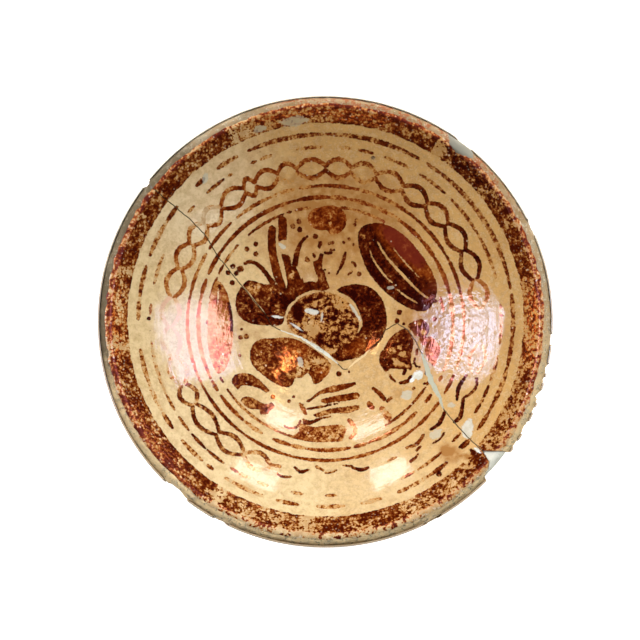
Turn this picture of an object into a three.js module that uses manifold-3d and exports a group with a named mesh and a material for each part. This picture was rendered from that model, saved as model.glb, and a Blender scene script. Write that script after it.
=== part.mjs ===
// A wheel-thrown lustreware dish that broke in two and was mended.
// Two clay sherds, the glaze coats on each of them, the glue in the break and the fillings along it.
// Millimetres, +Z up, standing on the foot ring at z = 0, with the axis of the wheel along Z.
import * as THREE from "three";
import { mergeVertices } from "three/addons/utils/BufferGeometryUtils.js";
import Module from "manifold-3d";

// The dish over its glaze
const DISH_DIAMETER = 205;
const DISH_HEIGHT = 49;
const BOWL_RADIUS = 149; // radius of the hollow's curve
const FLOOR_THICKNESS = 6.5; // clay under the middle of the hollow
const LIP_THICKNESS = 6;
const WALL_AT_FOOT = 8; // clay wall where it meets the foot ring
const FOOT_DIAMETER = 76;
const FOOT_WIDTH = 7;
const FOOT_FILLET = 3;
const FOOT_CHAMFER = 0.8;

// The glaze coats, which the worn lip and the standing face of the foot have lost
const GLAZE_THICKNESS = 0.5;
const FRONT_GLAZE_STOP = 127; // degrees round the lip's section, from level on its outer side
const BACK_GLAZE_STOP = 28;
const FOOT_GLAZE_STOP = 2; // height above the standing face

// The mend
const GLUE_THICKNESS = 0.5;
const FIT_GAP = 0.25; // clearance between any two neighbours
const FILL_DEPTH = 2.5;
const CENTRE_FILL_WIDTH = 1.6;
const LOBE_FILL_WIDTH = 1;
const EAST_FILL_WIDTH = 2.2;
const RIM_FILL_SETBACK = 2.5; // how far the wedge of filling stops short of the rim

// Places seen from above, as they lie on a dish 205 mm across
const PLAN_SCALE = DISH_DIAMETER / 205;
const onPlan = ([x, y, ...sizes]) => [x * PLAN_SCALE, y * PLAN_SCALE, ...sizes];

// The break, from the rim in the west to the filled wedge in the east
const BREAK = [
  [-79.5, 60.5],
  [-72.5, 55.2],
  [-62, 47.6],
  [-55, 41],
  [-49.2, 31.4],
  [-46.2, 28.2],
  [-42, 23],
  [-38.6, 19],
  [-33, 12.4],
  [-27.6, 6],
  [-24.4, 0.6],
  [-20.6, -1.3],
  [-11.6, -4.4],
  [-4, -9],
  [0.2, -11.8],
  [5.8, -16.8],
  [8.2, -19.4],
  [10.4, -19.2],
  [14, -15.8],
  [18, -12.9],
  [20.8, -10],
  [24.8, -6.4],
  [27.4, -1.6],
  [33.2, 1.8],
  [38, -1.4],
  [41.6, -7],
  [44.4, -13],
  [46.6, -19],
  [48.6, -26.5],
  [52, -33.4],
  [53.6, -38.8],
  [58.4, -45.4],
  [64.6, -53],
  [70.6, -59.4],
].map(onPlan);
const WEDGE_EDGES = [-3, -48]; // degrees, the two broken edges that leave the last point of the break

// Stretches of the break that hold filling, by the numbers of their first and last points
const CENTRE_FILL = [11, 15];
const LOBE_FILL = [17, 20];
const EAST_FILL = [26, 30];

// Bites out of the lip: degrees round the rim, length along it, depth into it, height
const RIM_CHIPS = [
  [-62, 9, 1.6, 3],
  [-38.5, 8, 2, 3.5],
  [-31.5, 6, 1.6, 3],
  [-25, 10, 2.2, 4],
  [-16.5, 7, 1.6, 3],
  [24, 9, 1.8, 3],
  [142.6, 3, 2, 3],
  [229, 13, 2.6, 4],
  [243, 8, 1.4, 3],
];
// The bite in the north-east that was made good with filling
const FILLED_CHIP = [52, 15, 6, 5];

// Glaze flaked off the front: across, up, length, width, degrees turned
const GLAZE_LOSSES = [
  [42.4, -22.8, 5.8, 5.2, 20],
  [37.4, -31.8, 5.6, 4.6, 60],
  [64.2, -47.6, 4.2, 6.4, -8],
  [50, -50.6, 7.2, 4.4, 32],
  [-6, 7.6, 6.6, 2.4, -8],
  [-13, 0.2, 9.6, 1.2, -33],
  [-20, 37.4, 4.8, 2, -38],
  [30, 18.2, 4.2, 1.8, -4],
  [-54.6, 65.4, 2.8, 5, -20],
  [-18, 90.4, 9.6, 3.2, 11],
  [-30.4, 87.2, 5.2, 2.6, 18],
].map(onPlan);

const SEGMENTS = 64;
const ARC_STEPS = 8;
const LIP_STEPS = 6;
const COAT_LIP_STEPS = 3;
const FILLET_STEPS = 2;
const LOSS_SIDES = 10;
const CHIP_DETAIL = 1;

// Sizes that follow from those above
const COAT = FIT_GAP + GLAZE_THICKNESS; // how far a coat stands out from the clay
const LIP_RADIUS = LIP_THICKNESS / 2;
const CLAY_BOWL_RADIUS = BOWL_RADIUS + COAT;
const LIP_REACH = CLAY_BOWL_RADIUS + LIP_RADIUS; // middle of the lip from the middle of the hollow's curve
const LIP_MIDDLE_RADIUS = DISH_DIAMETER / 2 - COAT - LIP_RADIUS;
const LIP_ANGLE = Math.asin(LIP_MIDDLE_RADIUS / LIP_REACH); // slope of the wall at the lip
const LIP_MIDDLE_Z = DISH_HEIGHT - LIP_RADIUS;
const BOWL_MIDDLE_Z = LIP_MIDDLE_Z + LIP_REACH * Math.cos(LIP_ANGLE);
const FOOT_RADIUS = FOOT_DIAMETER / 2;
const FOOT_INNER_RADIUS = FOOT_RADIUS - FOOT_WIDTH;
const RECESS_Z = BOWL_MIDDLE_Z - CLAY_BOWL_RADIUS - FLOOR_THICKNESS;
const FILLET_REACH = CLAY_BOWL_RADIUS + WALL_AT_FOOT + FOOT_FILLET;
const FILLET_ANGLE = Math.asin((FOOT_RADIUS + FOOT_FILLET) / FILLET_REACH); // slope of the wall at the foot
const FILLET_Z = BOWL_MIDDLE_Z - FILLET_REACH * Math.cos(FILLET_ANGLE);
const BREAK_HALF_WIDTH = GLUE_THICKNESS / 2 + FIT_GAP;
const REACH = DISH_DIAMETER * 2; // past the rim on every side

const wasm = await Module();
wasm.setup();

/** A closed three.js geometry as a solid that can be joined and cut. */
function toSolid(geometry) {
  const bare = geometry.clone();
  bare.deleteAttribute("normal");
  bare.deleteAttribute("uv");
  const merged = mergeVertices(bare, 1e-4);
  const corners = [...merged.index.array];
  const triVerts = [];
  for (let i = 0; i < corners.length; i += 3) {
    const [a, b, c] = corners.slice(i, i + 3);
    if (a !== b && b !== c && c !== a) triVerts.push(a, b, c);
  }
  return new wasm.Manifold(
    new wasm.Mesh({
      numProp: 3,
      vertProperties: merged.attributes.position.array,
      triVerts: Uint32Array.from(triVerts),
    }),
  );
}

/** A solid as a named three.js mesh. */
function toMesh(name, solid, material) {
  const { vertProperties, triVerts } = solid.getMesh();
  const geometry = new THREE.BufferGeometry();
  geometry.setAttribute("position", new THREE.BufferAttribute(vertProperties, 3));
  geometry.setIndex(new THREE.BufferAttribute(triVerts, 1));
  const flat = geometry.toNonIndexed();
  flat.computeVertexNormals();
  const mesh = new THREE.Mesh(flat, material);
  mesh.name = name;
  return mesh;
}

/** A closed section, as [radius, height] points with the solid on their right, turned about Z. */
function revolve(section) {
  const points = section.map(([radius, height]) => new THREE.Vector2(Math.max(radius, 0), height)).reverse();
  const lathe = new THREE.LatheGeometry(points, SEGMENTS);
  lathe.rotateX(Math.PI / 2);
  return toSolid(lathe);
}

/** An outline of [x, y] points stood up between two heights. */
function prism(outline, bottom = -DISH_HEIGHT, top = 2 * DISH_HEIGHT) {
  const shape = new THREE.Shape(outline.map(([x, y]) => new THREE.Vector2(x, y)));
  const geometry = new THREE.ExtrudeGeometry(shape, { depth: top - bottom, bevelEnabled: false });
  geometry.translate(0, 0, bottom);
  return toSolid(geometry);
}

const degrees = THREE.MathUtils.degToRad;
const polar = (radius, angle) => [radius * Math.cos(angle), radius * Math.sin(angle)];
const shift = ([x, y], [dx, dy]) => [x + dx, y + dy];

/** Points of an arc about a middle, from one angle to another. */
function arc(middle, radius, from, to, steps) {
  return Array.from({ length: steps + 1 }, (_, i) =>
    shift(middle, polar(radius, from + ((to - from) * i) / steps)),
  );
}

// Sections, drawn in the half plane of radius and height

const BOWL_MIDDLE = [0, BOWL_MIDDLE_Z];
const LIP_MIDDLE = [LIP_MIDDLE_RADIUS, LIP_MIDDLE_Z];
const INNER_TANGENT = Math.PI / 2 + LIP_ANGLE; // where the hollow runs into the lip, on the lip's circle
const OUTER_TANGENT = LIP_ANGLE - Math.PI / 2;

/** The hollow from the axis to the lip, this far outside its finished curve. */
const hollow = (depth) =>
  arc(BOWL_MIDDLE, BOWL_RADIUS + depth, -Math.PI / 2, -Math.PI / 2 + LIP_ANGLE, ARC_STEPS);

/** The lip between two angles, this far outside its clay. */
const lip = (offset, from, to, steps) => arc(LIP_MIDDLE, LIP_RADIUS + offset, from, to, steps);

/** The outer wall from the lip to the top of the foot ring, this far outside its clay. */
function outerWall(offset) {
  return Array.from({ length: ARC_STEPS + 1 }, (_, i) => {
    const share = i / ARC_STEPS;
    const thickness = THREE.MathUtils.lerp(LIP_THICKNESS, WALL_AT_FOOT, share);
    const slope = THREE.MathUtils.lerp(LIP_ANGLE, FILLET_ANGLE, share);
    return shift(BOWL_MIDDLE, polar(CLAY_BOWL_RADIUS + thickness + offset, slope - Math.PI / 2));
  });
}

/** The hollow corner between the outer wall and the foot ring, this far outside its clay. */
const footCorner = (offset) =>
  arc(
    [FOOT_RADIUS + FOOT_FILLET, FILLET_Z],
    FOOT_FILLET - offset,
    Math.PI / 2 + FILLET_ANGLE,
    Math.PI,
    FILLET_STEPS,
  );

function claySection() {
  return [
    ...hollow(COAT),
    ...lip(0, INNER_TANGENT, OUTER_TANGENT, LIP_STEPS).slice(1),
    ...outerWall(0).slice(1),
    ...footCorner(0).slice(1),
    [FOOT_RADIUS, FOOT_CHAMFER],
    [FOOT_RADIUS - FOOT_CHAMFER, 0],
    [FOOT_INNER_RADIUS + FOOT_CHAMFER, 0],
    [FOOT_INNER_RADIUS, FOOT_CHAMFER],
    [FOOT_INNER_RADIUS, RECESS_Z],
    [0, RECESS_Z],
  ];
}

/** Glaze over the hollow and the inner side of the lip. */
function frontGlazeSection() {
  const stop = degrees(FRONT_GLAZE_STOP);
  return [
    ...hollow(0),
    ...lip(COAT, INNER_TANGENT, stop, 1).slice(1),
    ...lip(FIT_GAP, stop, INNER_TANGENT, 1),
    ...hollow(GLAZE_THICKNESS).reverse().slice(1),
  ];
}

/** Glaze from the outer side of the lip down to the foot ring. */
function backGlazeSection() {
  const start = degrees(BACK_GLAZE_STOP);
  const face = (offset) => [
    ...lip(offset, start, OUTER_TANGENT, COAT_LIP_STEPS),
    ...outerWall(offset).slice(1),
    ...footCorner(offset).slice(1),
    [FOOT_RADIUS + offset, FOOT_GLAZE_STOP],
  ];
  return [...face(FIT_GAP).reverse(), ...face(COAT)].concat([face(FIT_GAP).at(-1)]);
}

/** Glaze on the underside, within the foot ring. */
function baseGlazeSection() {
  const edge = FOOT_INNER_RADIUS - FIT_GAP;
  return [
    [0, RECESS_Z - FIT_GAP],
    [edge, RECESS_Z - FIT_GAP],
    [edge, RECESS_Z - COAT],
    [0, RECESS_Z - COAT],
  ];
}

/** A layer of the hollow between two depths under its finished curve. */
const layer = (from, to) => revolve([...hollow(from), ...hollow(to).reverse()]);

// The break

const unit = ([x, y]) => [x / Math.hypot(x, y), y / Math.hypot(x, y)];
const along = ([ax, ay], [bx, by]) => unit([bx - ax, by - ay]);
const scaled = ([x, y], k) => [x * k, y * k];

/** A path moved sideways, to its left for a positive distance, with its corners mitred. */
function beside(path, distance) {
  return path.map((point, i) => {
    const before = along(path[Math.max(i - 1, 0)], path[Math.max(i, 1)]);
    const after = along(path[Math.min(i, path.length - 2)], path[Math.min(i + 1, path.length - 1)]);
    const middle = unit(shift(before, after));
    const stretch = before[0] * middle[0] + before[1] * middle[1];
    return shift(point, scaled([-middle[1], middle[0]], distance / stretch));
  });
}

/** A strip of even width along a path. */
const strip = (path, width) => prism([...beside(path, -width / 2), ...beside(path, width / 2).reverse()]);

const APEX = BREAK.at(-1);
const WEST_END = shift(BREAK[0], scaled(along(BREAK[1], BREAK[0]), REACH));
const wedgeEdge = (angle) => shift(APEX, polar(REACH, degrees(angle)));
const [UPPER_EDGE, LOWER_EDGE] = WEDGE_EDGES.map(wedgeEdge);
const ACROSS = along(WEST_END, UPPER_EDGE);
const UPPER_SIDE = scaled([-ACROSS[1], ACROSS[0]], REACH);
const LOWER_SIDE = scaled(UPPER_SIDE, -1);

/** Everything on one side of the break, which opens into the wedge at its eastern end. */
function sideOfBreak(edge, side, distance) {
  const path = beside([WEST_END, ...BREAK, edge], distance);
  return prism([...path, shift(edge, side), shift(WEST_END, side)]);
}

const upperSide = sideOfBreak(UPPER_EDGE, UPPER_SIDE, BREAK_HALF_WIDTH);
const lowerSide = sideOfBreak(LOWER_EDGE, LOWER_SIDE, -BREAK_HALF_WIDTH);
const wedge = prism([APEX, LOWER_EDGE, UPPER_EDGE]);

// Chips and losses

/** A scoop over the lip, grown by a margin. */
function chip([angle, length, depth, height], margin = 0) {
  const scoop = new THREE.IcosahedronGeometry(1, CHIP_DETAIL);
  scoop.scale(depth + margin, length / 2 + margin, height + margin);
  scoop.translate(DISH_DIAMETER / 2, 0, DISH_HEIGHT);
  scoop.rotateZ(degrees(angle));
  return toSolid(scoop);
}

/** An oval flake through the front glaze. */
function loss([x, y, length, width, turn]) {
  const oval = new THREE.EllipseCurve(x, y, length / 2, width / 2, 0, 2 * Math.PI, false, degrees(turn));
  return prism(oval.getPoints(LOSS_SIDES).slice(1).map((p) => [p.x, p.y]));
}

const union = (solids) => solids.reduce((whole, next) => whole.add(next));
const chips = union(RIM_CHIPS.map((c) => chip(c)));
const chipsInGlaze = union(RIM_CHIPS.map((c) => chip(c, COAT)));
const filledChip = chip(FILLED_CHIP);
const filledChipSeat = chip(FILLED_CHIP, FIT_GAP);
const losses = union(GLAZE_LOSSES.map(loss));

// Fillings along the break, flush with the glaze and as deep as they were raked out

const fillLayer = layer(0, FILL_DEPTH);
const seatLayer = layer(-GLAZE_THICKNESS, FILL_DEPTH + FIT_GAP);
const stretch = ([first, last]) => BREAK.slice(first, last + 1);
const STRIPS = [
  ["centre_crack_fill", stretch(CENTRE_FILL), CENTRE_FILL_WIDTH],
  ["lobe_crack_fill", stretch(LOBE_FILL), LOBE_FILL_WIDTH],
  ["east_crack_fill", stretch(EAST_FILL), EAST_FILL_WIDTH],
];

/** The path with both of its ends lengthened. */
function lengthened(path, extra) {
  const first = shift(path[0], scaled(along(path[1], path[0]), extra));
  const last = shift(path.at(-1), scaled(along(path.at(-2), path.at(-1)), extra));
  return [first, ...path.slice(1, -1), last];
}

const seats = union(
  STRIPS.map(([, path, width]) =>
    strip(lengthened(path, FIT_GAP), width + 2 * FIT_GAP).intersect(seatLayer),
  ),
);

// Whole shapes before they broke

const clay = revolve(claySection());
const frontGlaze = revolve(frontGlazeSection());
const backGlaze = revolve(backGlazeSection());
const baseGlaze = revolve(baseGlazeSection());

// Finishes

const finish = (color, roughness) => new THREE.MeshStandardMaterial({ color, roughness, metalness: 0 });
const bareClay = finish(0xa89a86, 0.95);
const tinGlaze = finish(0xd9bd8c, 0.2);
const whiteFilling = finish(0xe2dccb, 0.9);
const greyFilling = finish(0xa9a99a, 0.9);
const amberGlue = finish(0x6b5a3a, 0.4);

// The pieces

const dish = new THREE.Group();
dish.name = "lustreware_dish";
const place = (name, solid, material) => dish.add(toMesh(name, solid, material));

for (const [name, side] of [
  ["upper", upperSide],
  ["lower", lowerSide],
]) {
  const bitten = side.subtract(filledChipSeat);
  place(`${name}_sherd`, clay.intersect(bitten).subtract(chips).subtract(seats), bareClay);
  const unflaked = bitten.subtract(chipsInGlaze).subtract(losses).subtract(seats);
  place(`${name}_front_glaze`, frontGlaze.intersect(unflaked), tinGlaze);
  place(`${name}_back_glaze`, backGlaze.intersect(bitten.subtract(chipsInGlaze)), tinGlaze);
  place(`${name}_base_glaze`, baseGlaze.intersect(side), tinGlaze);
}

const glueStrip = strip([WEST_END, ...BREAK], GLUE_THICKNESS);
place("glue_line", clay.intersect(glueStrip).subtract(chips).subtract(seats), amberGlue);

for (const [name, path, width] of STRIPS) {
  const filling = name === "east_crack_fill" ? greyFilling : whiteFilling;
  place(name, strip(path, width).intersect(fillLayer), filling);
}

// The wedge stands off both broken edges and off the end of the glue
const wedgeRoom = wedge.subtract(upperSide).subtract(lowerSide);
const setBack = revolve([
  [0, 2 * DISH_HEIGHT],
  [DISH_DIAMETER / 2 - RIM_FILL_SETBACK, 2 * DISH_HEIGHT],
  [DISH_DIAMETER / 2 - RIM_FILL_SETBACK, -DISH_HEIGHT],
  [0, -DISH_HEIGHT],
]);
place("east_rim_fill", clay.intersect(wedgeRoom).intersect(setBack).subtract(chips), whiteFilling);
place("north_east_rim_fill", clay.intersect(filledChip), greyFilling);

export default dish;
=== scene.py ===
"""A mended lustreware dish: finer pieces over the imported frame, painted and lit as in the photograph.

Lengths in this script are millimetres. MM turns them into metres where a mesh, light or camera is made.
"""
import math

import bmesh
import bpy
import numpy as np
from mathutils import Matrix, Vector


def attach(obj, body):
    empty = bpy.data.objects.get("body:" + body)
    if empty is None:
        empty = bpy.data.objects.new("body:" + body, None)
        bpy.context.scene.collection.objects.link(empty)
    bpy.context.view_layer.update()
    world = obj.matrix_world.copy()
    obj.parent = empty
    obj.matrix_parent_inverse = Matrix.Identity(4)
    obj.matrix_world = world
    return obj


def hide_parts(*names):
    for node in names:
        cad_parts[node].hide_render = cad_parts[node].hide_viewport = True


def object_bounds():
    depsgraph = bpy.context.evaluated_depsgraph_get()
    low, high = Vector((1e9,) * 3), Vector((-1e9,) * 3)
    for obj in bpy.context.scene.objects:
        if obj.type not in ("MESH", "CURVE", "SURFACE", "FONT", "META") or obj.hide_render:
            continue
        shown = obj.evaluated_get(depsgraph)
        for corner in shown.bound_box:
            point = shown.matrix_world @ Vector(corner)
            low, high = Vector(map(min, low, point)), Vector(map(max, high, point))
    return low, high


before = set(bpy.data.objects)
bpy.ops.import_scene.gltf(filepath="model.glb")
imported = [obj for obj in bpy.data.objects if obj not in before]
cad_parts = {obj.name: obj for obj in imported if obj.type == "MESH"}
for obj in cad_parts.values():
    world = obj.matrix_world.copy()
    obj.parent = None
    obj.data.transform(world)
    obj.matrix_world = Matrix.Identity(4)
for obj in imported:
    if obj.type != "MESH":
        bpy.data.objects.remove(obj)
cad_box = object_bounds()

MM = 0.001

# The dish, with the sizes of the part's source
RIM_RADIUS = (cad_box[1][0] - cad_box[0][0]) / 2 / MM
DISH_HEIGHT = 49.0
BOWL_RADIUS = 149.0
FLOOR_THICKNESS = 6.5
LIP_THICKNESS = 6.0
WALL_AT_FOOT = 8.0
FOOT_RADIUS = 38.0
FOOT_WIDTH = 7.0
FOOT_FILLET = 3.0
FOOT_CHAMFER = 0.8
GLAZE_THICKNESS = 0.5
FIT_GAP = 0.25
FOOT_GLAZE_STOP = 2.0
BACK_GLAZE_STOP = 28.0
# Degrees round the rim, and degrees round the lip's section, 90 at its top, where the front glaze ends
LIP_GLAZE_STOPS = [
    (0, 98), (30, 104), (60, 106), (90, 104), (130, 106), (160, 100), (180, 92), (205, 92), (225, 106),
    (250, 94), (285, 84), (315, 86), (345, 94),
]
LIP_GLAZE_WAVE = 13.0  # degrees that its edge wanders by
WORN_GLAZE_EDGE = 0.08  # how far the front glaze's worn edge stands off the clay
GLAZE_TUCK = 0.2  # how far its underside reaches past the hollow's edge

# Sizes that follow from those above
COAT = FIT_GAP + GLAZE_THICKNESS
LIP_RADIUS = LIP_THICKNESS / 2
CLAY_BOWL_RADIUS = BOWL_RADIUS + COAT
LIP_REACH = CLAY_BOWL_RADIUS + LIP_RADIUS
LIP_MIDDLE_RADIUS = RIM_RADIUS - COAT - LIP_RADIUS
LIP_ANGLE = math.asin(LIP_MIDDLE_RADIUS / LIP_REACH)
LIP_MIDDLE_Z = DISH_HEIGHT - LIP_RADIUS
BOWL_MIDDLE_Z = LIP_MIDDLE_Z + LIP_REACH * math.cos(LIP_ANGLE)
FOOT_INNER_RADIUS = FOOT_RADIUS - FOOT_WIDTH
RECESS_Z = BOWL_MIDDLE_Z - CLAY_BOWL_RADIUS - FLOOR_THICKNESS
FILLET_REACH = CLAY_BOWL_RADIUS + WALL_AT_FOOT + FOOT_FILLET
FILLET_ANGLE = math.asin((FOOT_RADIUS + FOOT_FILLET) / FILLET_REACH)
FILLET_Z = BOWL_MIDDLE_Z - FILLET_REACH * math.cos(FILLET_ANGLE)
GLAZE_EDGE = BOWL_RADIUS * math.sin(LIP_ANGLE)

# The mend
BREAK_GAP = 0.45  # what shows of the glue between the two sherds
GLUE_SLACK = 0.06  # how much narrower the glue is than the gap
FILL_DEPTH = 2.5
FILL_RAGGED = 0.3  # share of a crack filling's width that its edges wander by
FILL_ENDS = 0.3  # share of its width left at its ends
RIM_FILL_SETBACK = 2
JAG = 0.14  # how far the broken edge wanders
JAG_STEP = 0.8

# The break in plan, from the rim in the west to the wedge in the east
BREAK = [
    (-79.5, 60.5), (-72.5, 55.2), (-62, 47.6), (-55, 41), (-49.2, 31.4), (-46.2, 28.2), (-42, 23),
    (-38.6, 19), (-33, 12.4), (-27.6, 6), (-24.4, 0.6), (-20.6, -1.3), (-11.6, -4.4), (-4, -9),
    (0.2, -11.8), (5.8, -16.8), (8.2, -19.4), (10.4, -19.2), (14, -15.8), (18, -12.9), (20.8, -10),
    (24.8, -6.4), (27.4, -1.6), (33.2, 1.8), (38, -1.4), (41.6, -7), (44.4, -13), (46.6, -19),
    (48.6, -26.5), (52, -33.4), (53.6, -38.8), (58.4, -45.4), (64.6, -53), (70.6, -59.4),
]
WEDGE_EDGES = (-3, -65)  # degrees in which the lost wedge's upper and lower edge run
# Where the lower sherd has crumbled beside the wedge, from the break outwards
LOWER_CORNER = [(73.2, -64.4), (72.8, -67.6), (71.2, -70.6)]
# Fillings raked into the break: the points of the break they run between, width, and the share of their
# length where they are widest
CRACK_FILLS = {
    "centre_crack_fill": ((11, 15), 1.6, 0.68),
    "lobe_crack_fill": ((17, 20), 1.0, 0.5),
    "east_crack_fill": ((26, 30), 2.2, 0.42),
}

# Bites out of the lip: degrees round the rim, length, depth, height
RIM_CHIPS = [
    (-62, 9, 1.6, 4), (-33.4, 3.4, 1.0, 8), (-28.6, 6.5, 1.5, 9), (-23.6, 2, 0.8, 8), (-20, 5.4, 2.1, 9),
    (-15.6, 2.2, 1.1, 8), (-12.6, 3.2, 1.4, 8), (-5, 5, 0.8, 7), (24, 9, 1.8, 4), (142.6, 3.6, 2.6, 6),
    (229, 14, 2.2, 8), (243, 8, 1.4, 5),
]
FILLED_CHIP = (52, 15, 6, 5)

# Glaze flaked off the front: across, up, length, width, degrees turned, how white the filling in it is
GLAZE_LOSSES = [
    (42.4, -22.8, 5.8, 5.2, 20, 0.85), (39.8, -25, 3, 2, 45, 1.0), (37.4, -31.8, 6, 5.2, 60, 0.3),
    (64.2, -48.6, 5.6, 11, -8, 0.6), (50, -50.6, 7.2, 4.8, 32, 0.25), (-6, 7.6, 7.6, 3, -8, 0.7),
    (-13, 0.2, 9.6, 1.2, -33, 0.7), (-20, 37.4, 4.8, 2.4, -38, 0.4), (30, 18.2, 4.2, 1.8, -4, 0.2),
    (-54.6, 65.4, 2.8, 5, -20, 0.3), (-14.2, 90.8, 15, 4.8, 9, 0.1), (-29.8, 87.2, 7, 3.4, 18, 0.1),
    (-22.2, 4.9, 6.6, 1.4, -6, 0.8), (-11.4, -15.8, 3, 6.4, 10, 0.35), (57.2, -37.4, 3.4, 2.6, 0, 0.2),
    (68.2, -59, 5, 1.5, -47, 1.0), (13.6, 7.6, 11.5, 1.5, -58, 0.5), (-1.6, 5, 5, 1.1, 84, 0.4),
]
# Pinholes burst through the glaze: across, up, width
PINHOLES = [(22, 75.6, 2.0)]

# The painting on the front, in copper lustre, placed in plan

FAR = 4.0  # largest distance to a painted edge that is kept
CURVE_STEP = 1.2  # length of the straight bits of a smooth outline
BRUSH_END = 0.6  # share of a line's width left at its ends

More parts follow.
